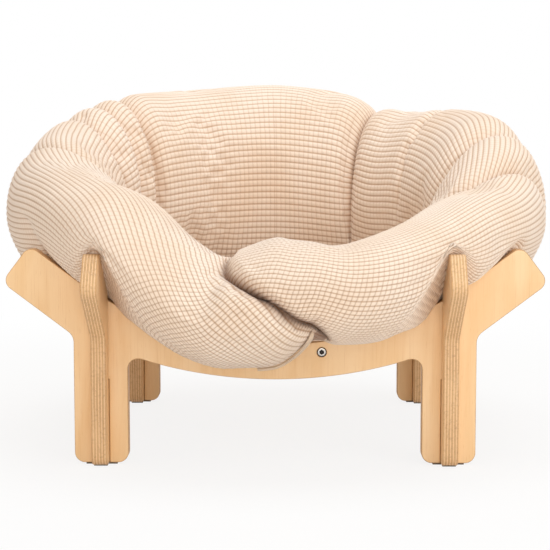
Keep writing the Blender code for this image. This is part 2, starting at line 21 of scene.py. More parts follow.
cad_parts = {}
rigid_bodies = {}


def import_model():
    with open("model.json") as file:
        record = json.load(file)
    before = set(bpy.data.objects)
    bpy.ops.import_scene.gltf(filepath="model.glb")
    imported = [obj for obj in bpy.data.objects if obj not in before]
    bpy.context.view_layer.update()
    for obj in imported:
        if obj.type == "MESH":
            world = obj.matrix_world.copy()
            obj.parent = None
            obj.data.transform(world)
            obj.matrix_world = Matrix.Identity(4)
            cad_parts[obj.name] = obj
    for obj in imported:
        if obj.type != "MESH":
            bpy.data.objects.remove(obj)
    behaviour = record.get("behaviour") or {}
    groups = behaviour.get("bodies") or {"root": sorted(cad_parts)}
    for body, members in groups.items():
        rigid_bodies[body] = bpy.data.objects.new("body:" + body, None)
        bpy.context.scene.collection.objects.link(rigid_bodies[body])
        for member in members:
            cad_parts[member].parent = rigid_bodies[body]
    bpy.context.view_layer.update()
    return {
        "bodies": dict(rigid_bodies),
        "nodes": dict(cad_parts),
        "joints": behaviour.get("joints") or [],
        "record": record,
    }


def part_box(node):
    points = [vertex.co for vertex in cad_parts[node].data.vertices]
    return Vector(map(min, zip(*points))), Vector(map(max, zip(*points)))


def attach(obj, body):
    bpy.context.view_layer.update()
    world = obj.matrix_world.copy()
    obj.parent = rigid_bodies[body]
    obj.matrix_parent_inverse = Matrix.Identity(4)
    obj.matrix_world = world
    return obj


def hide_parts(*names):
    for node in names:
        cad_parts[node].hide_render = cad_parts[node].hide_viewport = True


Array = np.ndarray
Colour = tuple[float, float, float]
Socket = bpy.types.NodeSocket
Value = object  # A socket, a number, a vector or a colour
Material = bpy.types.Material
Object = bpy.types.Object

LOG = logging.getLogger("cat_bed")
WHITE: Colour = (1.0, 1.0, 1.0)


class Body(str, Enum):
    """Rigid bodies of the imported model."""

    FRAME = "frame"
    CUSHION = "cushion"


class Slot(str, Enum):
    """Material slots of the record that new pieces carry."""

    PLYWOOD = "birch_plywood"
    STEEL = "bright_steel"
    CORDUROY = "cream_corduroy"
    BINDING = "cream_binding"


def linear(*shades: int) -> Colour:
    """Turn red, green and blue display values from 0 to 255 into linear light."""
    values = np.array(shades) / 255.0
    light = np.where(values <= 0.04045, values / 12.92, ((values + 0.055) / 1.055) ** 2.4)
    return tuple(float(value) for value in light)


def smoothstep(low: float, high: float, value: Array) -> Array:
    """Ramp from 0 at low to 1 at high, with level ends: t squared times (3 - 2 t)."""
    t = np.clip((value - low) / (high - low), 0.0, 1.0)
    return t * t * (3.0 - 2.0 * t)


def unit(vectors: Array) -> Array:
    """Vectors of length 1, along the last axis."""
    return vectors / np.maximum(np.linalg.norm(vectors, axis=-1, keepdims=True), 1e-12)


def wrapped(degrees: Array) -> Array:
    """Angles in degrees, from -180 to 180."""
    return (degrees + 180.0) % 360.0 - 180.0


def full_turn(count: int) -> Array:
    """Angles of a number of even steps round a circle, in radians."""
    return np.linspace(0.0, 2 * math.pi, count, endpoint=False)


# Shader graphs


class Graph:
    """Short calls for the nodes of one material, or of the world."""

    def __init__(self, owner: bpy.types.ID) -> None:
        """Start on the node tree of a new material or world.

        Args:
            owner: Material or world.
        """
        owner.use_nodes = True
        self.owner = owner
        self.tree = owner.node_tree

    def node(self, kind: str, **settings: object) -> bpy.types.Node:
        """Add a node of a kind, with its properties set."""
        made = self.tree.nodes.new(kind)
        for key, value in settings.items():
            setattr(made, key, value)
        return made

    def link(self, source: Value, target: Socket) -> None:
        """Join an output to an input, or write a plain value into the input."""
        if isinstance(source, Socket):
            self.tree.links.new(source, target)
        elif isinstance(source, tuple) and target.type == "RGBA":
            target.default_value = (*source, 1.0)
        else:
            target.default_value = source

    def fill(self, node: bpy.types.Node, **sockets: Value) -> Socket:
        """Fill a node's inputs, whose names are written with underscores.

        Args:
            node: The node.
            **sockets: Values for its inputs.

        Returns:
            The node's first output.
        """
        for key, value in sockets.items():
            self.link(value, node.inputs[key.replace("_", " ")])
        return node.outputs[0]

    def maths(self, operation: str, *values: Value) -> Socket:
        """Arithmetic on one or two values, by Blender's name of the operation."""
        made = self.node("ShaderNodeMath", operation=operation)
        for socket, value in zip(made.inputs, values):
            self.link(value, socket)
        return made.outputs[0]

    def times(self, first: Value, second: Value) -> Socket:
        """Product of two values."""
        return self.maths("MULTIPLY", first, second)

    def wave(self, count: Value, factor: float = math.pi) -> Socket:
        """Absolute sine of a count times a factor: round on top, and sharp at each whole step."""
        return self.maths("ABSOLUTE", self.maths("SINE", self.times(count, factor)))

    def remap(self, value: Value, low: float, high: float, out_low: float = 0.0,
              out_high: float = 1.0) -> Socket:
        """Smooth ramp of a value, from out_low at low to out_high at high."""
        made = self.node("ShaderNodeMapRange", interpolation_type="SMOOTHSTEP")
        for socket, item in zip(made.inputs, (value, low, high, out_low, out_high)):
            self.link(item, socket)
        return made.outputs[0]

    def mix(self, share: Value, first: Value, second: Value) -> Socket:
        """Blend two colours, by the share of the second one."""
        made = self.node("ShaderNodeMix", data_type="RGBA")
        for place, value in ((0, share), (6, first), (7, second)):
            self.link(value, made.inputs[place])
        return made.outputs[2]

    def stain(self, colour: Value, tint: Value, value: Value, low: float, high: float,
              share: float = 1.0) -> Socket:
        """Lay a tint over a colour where a value is high.

        Args:
            colour: Colour underneath.
            tint: Colour on top.
            value: What decides.
            low: Value up to which none of the tint shows.
            high: Value from which its full share shows.
            share: Full share of the tint.

        Returns:
            The stained colour.
        """
        return self.mix(self.remap(value, low, high, 0.0, share), colour, tint)

    def noise(self, vector: Value, scale: float | tuple[float, float, float],
              detail: float = 3.0, roughness: float = 0.5, distortion: float = 0.0) -> Socket:
        """Noise of a stretched vector, from 0 to 1.

        Args:
            vector: Where to read it.
            scale: Features in one unit, for all axes or for each.
            detail: Octaves of finer noise.
            roughness: Weight of the finer octaves.
            distortion: How much the pattern is stirred.

        Returns:
            The noise.
        """
        scale = (scale,) * 3 if isinstance(scale, float) else scale
        stretched = self.fill(self.node("ShaderNodeMapping"), Vector=vector, Scale=scale)
        return self.fill(self.node("ShaderNodeTexNoise"), Vector=stretched, Scale=1.0,
                         Detail=detail, Roughness=roughness, Distortion=distortion)

    def attribute(self, name: str) -> Socket:
        """Value of a mesh attribute."""
        return self.node("ShaderNodeAttribute", attribute_name=name).outputs["Fac"]

    def coordinates(self, output: str) -> Socket:
        """Object or UV coordinates of the piece itself."""
        return self.node("ShaderNodeTexCoord").outputs[output]

    def flat_coordinates(self) -> tuple[Socket, Socket]:
        """U and V of the piece's own map."""
        split = self.node("ShaderNodeSeparateXYZ")
        self.link(self.coordinates("UV"), split.inputs[0])
        return split.outputs[0], split.outputs[1]

    def bump(self, height: Value, depth: float, **under: Value) -> Socket:
        """Surface relief.

        Args:
            height: Height from 0 to 1.
            depth: Metres between the lowest and the highest point.
            **under: Normal, where this relief is laid over another.

        Returns:
            The normal.
        """
        return self.fill(self.node("ShaderNodeBump"), Distance=depth, Height=height, **under)

    def finish(self, **sockets: Value) -> Material:
        """Fill the Principled shader's inputs, and return the material."""
        self.fill(self.tree.nodes["Principled BSDF"], **sockets)
        return self.owner


def material_graph(name: str) -> Graph:
    """Start a new material of that name."""
    return Graph(bpy.data.materials.new(name))


# Finishes


@dataclass(frozen=True)
class PlywoodFinish:
    """Birch plywood with a clear satin lacquer: quiet figure on the faces, plies on the edges."""

    pale: Colour = linear(249, 216, 172)
    warm: Colour = linear(241, 202, 151)
    line: Colour = linear(220, 173, 117)
    edge_pale: Colour = linear(238, 202, 157)
    edge_dark: Colour = linear(214, 170, 121)
    glue: Colour = linear(140, 98, 62)
    ply_count: float = 11.0
    roughness: float = 0.42
    edge_roughness: float = 0.16
    grain_depth: float = 0.00006

    def face(self, graph: Graph, fibre: Socket) -> Socket:
        """Colour of the faces, from the UV map: metres along the grain and across it.

        Args:
            graph: Material under way.
            fibre: Noise of the long fibres.

        Returns:
            The colour.
        """
        uv = graph.coordinates("UV")
        figure = graph.noise(uv, (5.0, 34.0, 1.0), 4.0, 0.55, 0.9)
        pores = graph.noise(uv, (90.0, 1600.0, 1.0), 1.0)
        cloud = graph.noise(uv, (7.0, 9.0, 1.0), 2.0)
        colour = graph.stain(self.pale, self.warm, figure, 0.35, 0.68)
        colour = graph.stain(colour, self.warm, cloud, 0.35, 0.75, 0.45)
        colour = graph.stain(colour, self.line, fibre, 0.52, 0.80, 0.45)
        return graph.stain(colour, self.line, pores, 0.66, 0.78, 0.5)

    def edge(self, graph: Graph, place: Socket, end_grain: Socket) -> Socket:
        """Colour of the edges, from ply_depth: 0 at one face and 1 at the other.

        Args:
            graph: Material under way.
            place: Object coordinates.
            end_grain: Noise of the cut fibres.

        Returns:
            The colour, with every second ply darker and a glue line between plies.
        """
        wander = graph.noise(place, 14.0, 2.0)
        layers = graph.times(graph.attribute("ply_depth"), self.ply_count)
        layers = graph.maths("ADD", layers, graph.remap(wander, 0.2, 0.8, -0.10, 0.10))
        turn = graph.maths("SINE", graph.times(layers, math.pi))
        streaks = graph.noise(place, (230.0, 230.0, 38.0), 3.0, 0.6)
        colour = graph.mix(graph.maths("GREATER_THAN", turn, 0.0), self.edge_pale, self.edge_dark)
        colour = graph.stain(colour, self.glue, end_grain, 0.45, 0.75, 0.35)
        colour = graph.stain(colour, self.edge_pale, streaks, 0.50, 0.75, 0.40)
        middle = graph.maths("SUBTRACT", graph.maths("FRACT", layers), 0.5)
        seam = graph.remap(graph.maths("ABSOLUTE", middle), 0.38, 0.47)
        strength = graph.remap(graph.noise(place, (30.0, 30.0, 16.0), 2.0), 0.38, 0.62, 0.25, 0.95)
        return graph.mix(graph.times(seam, strength), colour, self.glue)

    def material(self) -> Material:
        """Make the material, which shows edges where the attribute on_edge is 1."""
        graph = material_graph("birch_plywood_finish")
        place = graph.coordinates("Object")
        fibre = graph.noise(graph.coordinates("UV"), (16.0, 900.0, 1.0), 3.0, 0.6)
        end_grain = graph.noise(place, 420.0, 3.0, 0.65)
        on_edge = graph.attribute("on_edge")
        colour = graph.mix(on_edge, self.face(graph, fibre), self.edge(graph, place, end_grain))
        grain = graph.mix(on_edge, fibre, end_grain)
        rough = graph.remap(fibre, 0.2, 0.8, self.roughness - 0.05, self.roughness + 0.08)
        rough = graph.maths("ADD", rough, graph.times(on_edge, self.edge_roughness))
        return graph.finish(Base_Color=colour, Roughness=rough, Coat_Weight=0.12,
                            Coat_Roughness=0.32, Normal=graph.bump(grain, self.grain_depth))


@dataclass(frozen=True)
class MetalFinish:
    """Turned metal, with the fine rings of the tool, rubbed places, and sockets painted dark as
    painted shade.
    """

    name: str
    colour: Colour
    worn: Colour
    roughness: float
    patch_scale: float = 700.0
    ring_scale: float = 2600.0
    ring_depth: float = 0.00001
    painted_socket_shade: Colour = (0.03, 0.027, 0.025)

    def material(self) -> Material:
        """Make the material, which reads Object coordinates and the attribute on_edge."""
        graph = material_graph(self.name)
        place = graph.coordinates("Object")
        patches = graph.noise(place, self.patch_scale, 3.0, 0.6)
        rings = graph.noise(place, self.ring_scale, 1.0)
        colour = graph.stain(self.colour, self.worn, patches, 0.4, 0.7)
        # Painted shade: faces marked on_edge, the hollow of a screw's socket, are painted nearly
        # black
        colour = graph.mix(graph.attribute("on_edge"), colour, self.painted_socket_shade)
        rough = graph.remap(patches, 0.3, 0.7, self.roughness - 0.06, self.roughness + 0.10)
        return graph.finish(Base_Color=colour, Metallic=1.0, Roughness=rough,
                            Normal=graph.bump(rings, self.ring_depth))


@dataclass(frozen=True)
class FeltFinish:
    """Pressed grey felt."""

    dark: Colour = linear(96, 88, 80)
    pale: Colour = linear(146, 137, 127)
    fibre_scale: float = 1500.0
    fibre_depth: float = 0.0004

    def material(self) -> Material:
        """Make the material, which reads Object coordinates."""
        graph = material_graph("grey_felt_finish")
        place = graph.coordinates("Object")
        fibres = graph.noise(place, self.fibre_scale, 4.0, 0.7, 1.2)
        tufts = graph.noise(place, 240.0, 2.0)
        colour = graph.mix(fibres, self.dark, self.pale)
        colour = graph.stain(colour, self.dark, tufts, 0.35, 0.7, 0.4)
        return graph.finish(Base_Color=colour, Roughness=0.96, Sheen_Weight=0.3,
                            Normal=graph.bump(fibres, self.fibre_depth))


@dataclass(frozen=True)
class CorduroyFinish:
    """Soft cream fabric with wide ribs and finer stitches across them.

    The UV map runs once round the piece each way. The ribs lie at whole steps of V times ribs, and
    the stitches at whole steps of U times stitches.
    """

    name: str
    ribs: int
    stitches: int
    rib_depth: float = 0.0
    stitch_depth: float = 0.0011
    yarn_depth: float = 0.00016
    cream: Colour = linear(249, 234, 220)
    blush: Colour = linear(243, 223, 204)
    # groove: colour of the yarn flecks, and of the painted shade in the rib valleys and stitch gaps
    groove: Colour = linear(188, 148, 111)
    # depth: dark brown of the painted shade in the folds, the slit and the painted shadow beyond the
    # hem
    depth: Colour = linear(132, 88, 58)
    rib_shade: float = 0.72
    stitch_shade: float = 0.65
    fold_shade: float = 0.85

    def stitch(self, graph: Graph, along: Socket, place: Socket) -> Socket:
        """Height of the stitches, from 0 in a groove to 1.

        Args:
            graph: Material under way.
            along: U of the map.
            place: Object coordinates.

        Returns:
            The height. Only every second stitch shows where the attribute fine is 0.
        """
        shift = graph.remap(graph.noise(place, 60.0, 2.0), 0.2, 0.8, -0.12, 0.12)
        count = graph.maths("ADD", graph.times(along, float(self.stitches)), shift)
        fine = graph.attribute("fine")
        coarse = graph.times(graph.wave(count, math.pi / 2), graph.maths("SUBTRACT", 1.0, fine))
        close = graph.times(graph.wave(count), fine)
        return graph.maths("POWER", graph.maths("ADD", close, coarse), 0.6)

    def material(self) -> Material:
        """Make the material, which also reads how deep the stitches are, and how much painted shade
        lies in the folds.

        Returns:
            The finished material.
        """
        graph = material_graph(self.name)
        place = graph.coordinates("Object")
        along, over = graph.flat_coordinates()
        stitch = self.stitch(graph, along, place)
        rib = graph.wave(graph.times(over, float(self.ribs)))
        waffle = graph.attribute("waffle")
        yarn = graph.noise(place, 1300.0, 3.0, 0.7)
        colour = graph.stain(self.cream, self.blush, graph.noise(place, 11.0), 0.35, 0.7)
        colour = graph.stain(colour, self.groove, yarn, 0.45, 0.8, 0.22)
        # Painted shade in the valleys between ribs and in the gaps between stitches
        valley = graph.remap(rib, 0.05, 0.70, 1.0, 0.0)
        colour = graph.mix(graph.times(valley, self.rib_shade), colour, self.groove)
        gap = graph.times(graph.remap(stitch, 0.15, 0.80, 1.0, 0.0), waffle)
        colour = graph.mix(graph.times(gap, self.stitch_shade), colour, self.groove)
        # Painted shade in the folds and the slit, and painted shadow beyond the hem, from the
        # attribute fold
        fold = graph.times(graph.attribute("fold"), self.fold_shade)
        colour = graph.mix(fold, colour, self.depth)
        normal = graph.bump(graph.times(stitch, waffle), self.stitch_depth)
        if self.rib_depth > 0.0:
            normal = graph.bump(graph.maths("POWER", rib, 0.6), self.rib_depth, Normal=normal)
        return graph.finish(Base_Color=colour, Roughness=0.92, Sheen_Weight=0.25,
                            Sheen_Roughness=0.45,
                            Normal=graph.bump(yarn, self.yarn_depth, Normal=normal))


@dataclass(frozen=True)
class TapeFinish:
    """Plain woven tape, with threads along and across it."""

    cream: Colour = linear(240, 219, 196)
    shade: Colour = linear(205, 176, 147)
    threads_across: float = 7.0
    threads_along: float = 190.0
    thread_depth: float = 0.0003

    def material(self) -> Material:
        """Make the material, which reads the UV map: U along the tape and V round it."""
        graph = material_graph("cream_tape_finish")
        along, over = graph.flat_coordinates()
        weave = graph.times(graph.wave(over, math.pi * self.threads_across),
                            graph.wave(along, math.pi * self.threads_along))
        colour = graph.mix(graph.remap(weave, 0.0, 0.5, 0.75, 0.0), self.cream, self.shade)
        return graph.finish(Base_Color=colour, Roughness=0.88, Sheen_Weight=0.2,
                            Normal=graph.bump(weave, self.thread_depth))


# Meshes


@dataclass
class Skin:
    """Vertices, faces and attributes gathered from several grids, for one mesh.

    Each face has a mark, its attribute on_edge: 1 for a cut edge of plywood, or for a screw's
    socket, which is painted dark as painted shade.
    """

    points: list[Array] = field(default_factory=list)
    quads: list[Array] = field(default_factory=lambda: [np.empty((0, 4), int)])
    triangles: list[Array] = field(default_factory=lambda: [np.empty((0, 3), int)])
    quad_uvs: list[Array] = field(default_factory=list)
    triangle_uvs: list[Array] = field(default_factory=list)
    quad_marks: list[Array] = field(default_factory=list)
    values: dict[str, list[Array]] = field(default_factory=dict)
    count: int = 0

    def add_points(self, points: Array, **values: Array | float) -> int:
        """Add loose vertices.

        Args:
            points: Array of n by 3.
            **values: Attribute values, one for each vertex or one for all.

        Returns:
            Number of the first new vertex.
        """
        first = self.count
        self.points.append(points)
        self.count += len(points)
        for key, value in values.items():
            self.values.setdefault(key, []).append(np.broadcast_to(value, len(points)))
        return first

    def add_grid(self, points: Array, uv: Array, closed: tuple[bool, bool],
                 marks: Array | float = 0.0, **values: Array | float) -> Array:
        """Add a grid of points, and the quads between them.

        Args:
            points: Array of columns by rows by 3.
            uv: Array of (columns + 1) by (rows + 1) by 2, which doesn't wrap.
            closed: Whether the columns and the rows join up with their start.
            marks: Mark of each strip of faces, one for each row.
            **values: Attribute values, of columns by rows or one for all.

        Returns:
            The numbers of the vertices, columns by rows.
        """
        columns, rows = points.shape[:2]
        flat = {key: np.broadcast_to(value, (columns, rows)).ravel()
                for key, value in values.items()}
        first = self.add_points(points.reshape(-1, 3), **flat)
        index = first + np.arange(columns * rows).reshape(columns, rows)
        i = np.arange(columns if closed[0] else columns - 1)
        j = np.arange(rows if closed[1] else rows - 1)
        i, j = (grid.ravel() for grid in np.meshgrid(i, j, indexing="ij"))
        ahead, up = (i + 1) % columns, (j + 1) % rows
        self.quads.append(np.stack((index[i, j], index[ahead, j], index[ahead, up],
                                    index[i, up]), 1))
        self.quad_uvs.append(np.stack((uv[i, j], uv[i + 1, j], uv[i + 1, j + 1],
                                       uv[i, j + 1]), 1))
        self.quad_marks.append(np.broadcast_to(marks, rows)[j])
        return index

    def add_triangles(self, triangles: Array, uv: Array) -> None:
        """Add triangles, n by 3, with the UV of each corner, n by 3 by 2."""
        self.triangles.append(triangles)
        self.triangle_uvs.append(uv)

    def cap(self, ring: Array, across: float = 0.0, **values: Array | float) -> None:
        """Close a ring of vertices with a fan of triangles round its middle.

        Args:
            ring: Numbers of the vertices.
            across: Length over which the UV runs from 0 to 1 seen from above, or 0 for no map.
            **values: Attribute values of the middle.
        """
        centre = self.add_points(np.concatenate(self.points)[ring].mean(0)[None], **values)
        fan = np.stack((ring, np.roll(ring, -1), np.full(len(ring), centre)), 1)
        flat = np.concatenate(self.points)[fan, :2]
        self.add_triangles(fan, flat / across + 0.5 if across else np.zeros_like(flat))

    def build(self, name: str, material: Material, smooth_angle: float = 180.0,
              merge: float = 0.0, flat_triangles: bool = False) -> Object:
        """Make the object, at the origin and unturned.

        Args:
            name: Name of the object and its mesh.
            material: Finish of the whole piece.
            smooth_angle: Edges sharper than this many degrees stay hard.
            merge: Vertices nearer than this are joined, and the normals recalculated.
            flat_triangles: Whether the triangles are shaded as flat faces.

        Returns:
            The new object.
        """
        quads, triangles = np.concatenate(self.quads), np.concatenate(self.triangles)
        starts = np.concatenate((4 * np.arange(len(quads)),
                                 4 * len(quads) + 3 * np.arange(len(triangles))))
        corners = np.concatenate((quads.ravel(), triangles.ravel()))
        smooth = np.ones(len(starts), bool)
        smooth[len(quads):] = not flat_triangles
        mesh = bpy.data.meshes.new(name)
        mesh.vertices.add(self.count)
        mesh.vertices.foreach_set("co", np.concatenate(self.points).ravel())
        mesh.loops.add(len(corners))
        mesh.loops.foreach_set("vertex_index", corners)
        mesh.polygons.add(len(starts))
        mesh.polygons.foreach_set("loop_start", starts)
        mesh.polygons.foreach_set("use_smooth", smooth)
        mesh.update(calc_edges=True)
        uvs = [part.reshape(-1, 2) for part in self.quad_uvs + self.triangle_uvs]
        mesh.uv_layers.new(name="UVMap").data.foreach_set("uv", np.concatenate(uvs).ravel())
        for key, parts in self.values.items():
            attribute = mesh.attributes.new(key, "FLOAT", "POINT")
            attribute.data.foreach_set("value", np.concatenate(parts).astype(float))
        marks = np.concatenate(self.quad_marks + [np.zeros(len(triangles))])
        mesh.attributes.new("on_edge", "FLOAT", "FACE").data.foreach_set("value", marks)
        if merge > 0.0:
            work = bmesh.new()
            work.from_mesh(mesh)
            bmesh.ops.remove_doubles(work, verts=work.verts, dist=merge)
            bmesh.ops.recalc_face_normals(work, faces=work.faces)
            work.to_mesh(mesh)
            work.free()
        if smooth_angle < 180.0:
            mesh.set_sharp_from_angle(angle=math.radians(smooth_angle))
        mesh.materials.append(material)
        made = bpy.data.objects.new(name, mesh)
        bpy.context.scene.collection.objects.link(made)
        LOG.info("%s: %d vertices, %d faces", name, self.count, len(starts))
        return made


def grid_uv(columns: int, rows: int) -> Array:
    """UV that runs from 0 to 1 over a grid's steps each way, ends included."""
    u, v = np.meshgrid(np.linspace(0.0, 1.0, columns + 1), np.linspace(0.0, 1.0, rows + 1),
                       indexing="ij")
    return np.stack((u, v), -1)


# Plywood frame


@dataclass(frozen=True)
class PanelShape:
    """Outline of the four panels, from the sizes of the solids, in metres."""

    ply: float = 0.015
    leg_centre: float = 0.1675
    leg_width: float = 0.052
    foot_radius: float = 0.010
    foot_level: float = 0.0015
    cradle_low: float = 0.117
    cradle_radius: float = 0.323
    arm_angle: float = math.radians(37.0)
    arm_width: float = 0.045
    arm_reach: float = 0.294
    tip_radius: float = 0.010
    elbow_radius: float = 0.013
    belly_depth: float = 0.034
    belly_radius: float = 0.440
    arch_radius: float = 0.010
    slot_play: float = 0.0003
    lap_gap: float = 0.0003
    belly_steps: int = 28
    cradle_steps: int = 56

    def cradle_height(self, s: Array | float) -> Array:
        """Height of the top edge at a distance s from the middle: an arc, then a straight."""
        s = np.abs(s)
        tangent = self.cradle_radius * math.sin(self.arm_angle)
        arc = np.sqrt(self.cradle_radius ** 2 - np.minimum(s, tangent) ** 2)
        rise = np.maximum(s - tangent, 0.0) * math.tan(self.arm_angle)
        return self.cradle_low + self.cradle_radius - arc + rise

    def belly_height(self, s: Array | float) -> Array:
        """Height of the bottom edge at a distance s from the middle, an arc."""
        low = self.cradle_low - self.belly_depth
        return low + self.belly_radius - np.sqrt(self.belly_radius ** 2 - np.square(s))

    def arm_tip(self) -> tuple[Array, Array]:
        """The arm's top and bottom corner at its free end, each as (s, height)."""
        along = np.array((math.cos(self.arm_angle), math.sin(self.arm_angle)))
        across = np.array((along[1], -along[0]))
        rise = self.cradle_radius * math.tan(self.arm_angle)
        foot = np.array((0.0, float(self.cradle_height(self.cradle_radius)) - rise))
        top = foot + along * self.arm_reach
        return top, top + across * self.arm_width

    def outline(self, slots_below: bool) -> Array:
        """Closed outline of a panel, with the half-lap slots at its legs.

        Args:
            slots_below: Whether the slots open downwards or upwards.

        Returns:
            Array of n by 2, of (s, height).
        """
        outer = self.leg_centre + self.leg_width / 2
        inner = self.leg_centre - self.leg_width / 2
        lap = (self.foot_level + float(self.cradle_height(self.leg_centre))) / 2
        slot = [self.leg_centre + side * (self.ply / 2 + self.slot_play) for side in (-1, 1)]
        top, bottom = self.arm_tip()
        elbow = bottom[1] - (bottom[0] - outer) * math.tan(self.arm_angle)
        belly = np.linspace(0.0, inner - 1.8 * self.arch_radius, self.belly_steps)
        half = [(s, float(self.belly_height(s)), 0.0) for s in belly]
        half.append((inner, float(self.belly_height(inner)), self.arch_radius))
        half.append((inner, self.foot_level, self.foot_radius))
        if slots_below:
            roof = lap + self.lap_gap / 2
            half += [(slot[0], self.foot_level, 0.0), (slot[0], roof, 0.0),
                     (slot[1], roof, 0.0), (slot[1], self.foot_level, 0.0)]
        half += [(outer, self.foot_level, self.foot_radius), (outer, elbow, self.elbow_radius),
                 (*bottom, self.tip_radius), (*top, self.tip_radius)]
        run = np.linspace(self.cradle_radius * math.sin(self.arm_angle), 0.0, self.cradle_steps)
        edge = [(s, float(self.cradle_height(s)), 0.0) for s in run]
        if not slots_below:
            floor = lap - self.lap_gap / 2
            lips = [float(self.cradle_height(s)) for s in slot]
            edge = ([corner for corner in edge if corner[0] > slot[1] + 1e-3]
                    + [(slot[1], lips[1], 0.0), (slot[1], floor, 0.0), (slot[0], floor, 0.0),
                       (slot[0], lips[0], 0.0)]
                    + [corner for corner in edge if corner[0] < slot[0] - 1e-3])
        half += edge
        return rounded(half + [(-s, z, radius) for s, z, radius in reversed(half[1:-1])])


def rounded(corners: list[tuple[float, float, float]], step: float = math.radians(6.0)) -> Array:
    """Replace each corner (x, y, radius) of a closed outline by an arc of its radius.

    Args:
        corners: Corners in order.
        step: Largest turn between two points of an arc.

    Returns:
        Array of n by 2.
    """
    points: list[Array] = []
    for index, (x, y, radius) in enumerate(corners):
        corner = np.array((x, y))
        if radius <= 0.0:
            points.append(corner[None])
            continue
        back = unit(np.array(corners[index - 1][:2]) - corner)
        ahead = unit(np.array(corners[(index + 1) % len(corners)][:2]) - corner)
        half = math.acos(np.clip(back @ ahead, -1.0, 1.0)) / 2
        centre = corner + unit(back + ahead) * radius / math.sin(half)
        start = corner + back * radius / math.tan(half) - centre
        end = corner + ahead * radius / math.tan(half) - centre
        first = math.atan2(start[1], start[0])
        sweep = (math.atan2(end[1], end[0]) - first + math.pi) % (2 * math.pi) - math.pi
        turns = np.linspace(first, first + sweep, max(3, math.ceil(abs(sweep) / step)) + 1)
        points.append(centre + radius * np.stack((np.cos(turns), np.sin(turns)), 1))
    return np.concatenate(points)


@dataclass(frozen=True)
class Bore:
    """Screw hole through a panel, with a counterbore on its outer face."""

    s: float
    height: float
    radius: float = 0.0028
    sink_radius: float = 0.00475
    sink_depth: float = 0.0057
    steps: int = 32

    def circle(self, radius: Array) -> Array:
        """Circles round the hole, steps by the number of radii by 2."""
        turn = full_turn(self.steps)
        ring = np.stack((np.cos(turn), np.sin(turn)), 1)
        return np.array((self.s, self.height)) + ring[:, None] * np.asarray(radius)[None, :, None]


@dataclass
class Sheet:
    """One piece cut from plywood: an outline, a thickness, eased edges and screw holes."""

    name: str
    outline: Array
    ply: float
    origin: Array
    along: Array
    up: Array
    out: Array
    bores: tuple[Bore, ...] = ()
    ease: float = 0.0010
    ease_steps: int = 5
    grain_shift: float = 0.0

    def place(self, flat: Array, depth: Array | float) -> Array:
        """Put points of the sheet into the object's frame.

        Args:
            flat: Array whose last axis is (s, height).
            depth: Distance from the middle plane towards the outer face.

        Returns:
            Array whose last axis is (x, y, z).
        """
        depth = np.broadcast_to(depth, flat.shape[:-1])[..., None]
        return self.origin + flat[..., :1] * self.along + flat[..., 1:] * self.up + depth * self.out

    def build(self, material: Material) -> Object:
        """Make the sheet.

        The rim is a profile carried along the outline: a quarter round, the edge, and a quarter
        round. Each face fills the outline less its holes.

        Args:
            material: Plywood finish.

        Returns:
            The finished piece.
        """
        skin = Skin()
        half = self.ply / 2
        step = np.roll(self.outline, -1, 0) - self.outline
        normal = unit(np.stack((step[:, 1], -step[:, 0]), 1))
        before = np.roll(normal, 1, 0)
        miter = (normal + before) / (1.0 + np.sum(normal * before, 1, keepdims=True))
        turn = np.linspace(0.0, math.pi / 2, self.ease_steps)
        inset = np.concatenate((self.ease * (1 - np.sin(turn)), self.ease * (1 - np.cos(turn))))
        depth = np.concatenate((half - self.ease * (1 - np.cos(turn)),
                                -half + self.ease * (1 - np.sin(turn))))
        flat = self.outline[:, None] - miter[:, None] * inset[None, :, None]
        lengths = np.concatenate(((0.0,), np.cumsum(np.linalg.norm(step, axis=1))))
        uv = np.stack(np.broadcast_arrays(lengths[:, None], np.append(depth, depth[-1])[None]), -1)
        strip = np.arange(len(depth))
        marks = np.minimum(strip, len(depth) - 2 - strip) >= 1
        rim = skin.add_grid(self.place(flat, depth[None]), uv, (True, False), marks,
                            ply_depth=(depth + half)[None] / self.ply)
        self.fill_face(skin, 1.0, rim[:, 0], flat[:, 0])
        self.fill_face(skin, -1.0, rim[:, -1], flat[:, 0])
        for bore in self.bores:
            self.line_hole(skin, bore)
        return skin.build(self.name, material, smooth_angle=32.0, merge=1e-6, flat_triangles=True)

    def fill_face(self, skin: Skin, side: float, loop: Array, flat: Array) -> None:
        """Fill one face between the outline and the holes.

        Args:
            skin: Mesh under way.
            side: 1 for the outer face, -1 for the inner one.
            loop: Vertex numbers along the outline.
            flat: The same vertices as (s, height).
        """
        contours, index = [flat], [loop]
        for bore in self.bores:
            radius = bore.sink_radius + self.ease / 3 if side > 0 else bore.radius
            circle = bore.circle((radius,))[:, 0]
            first = skin.add_points(self.place(circle, side * self.ply / 2),
                                    ply_depth=(1.0 + side) / 2)
            contours.append(circle)
            index.append(first + np.arange(len(circle)))
        polygons = [[Vector((s, z, 0.0)) for s, z in contour] for contour in contours]
        triangles = np.array(tessellate_polygon(polygons))
        grain = np.concatenate(contours)[..., ::-1] + self.grain_shift
        skin.add_triangles(np.concatenate(index)[triangles], grain[triangles])

    def line_hole(self, skin: Skin, bore: Bore) -> None:
        """Line a hole: a counterbore from the outer face, then the bore.

        Args:
            skin: Mesh under way.
            bore: The hole.
        """
        half, lip = self.ply / 2, self.ease / 3
        radius = (bore.sink_radius + lip, bore.sink_radius, bore.sink_radius, bore.radius,
                  bore.radius)
        step = half - bore.sink_depth
        depth = np.array((half, half - lip, step, step, -half))
        skin.add_grid(self.place(bore.circle(radius), depth[None]),
                      grid_uv(bore.steps, len(depth)), (True, False), 1.0,
                      ply_depth=(depth + half)[None] / self.ply)


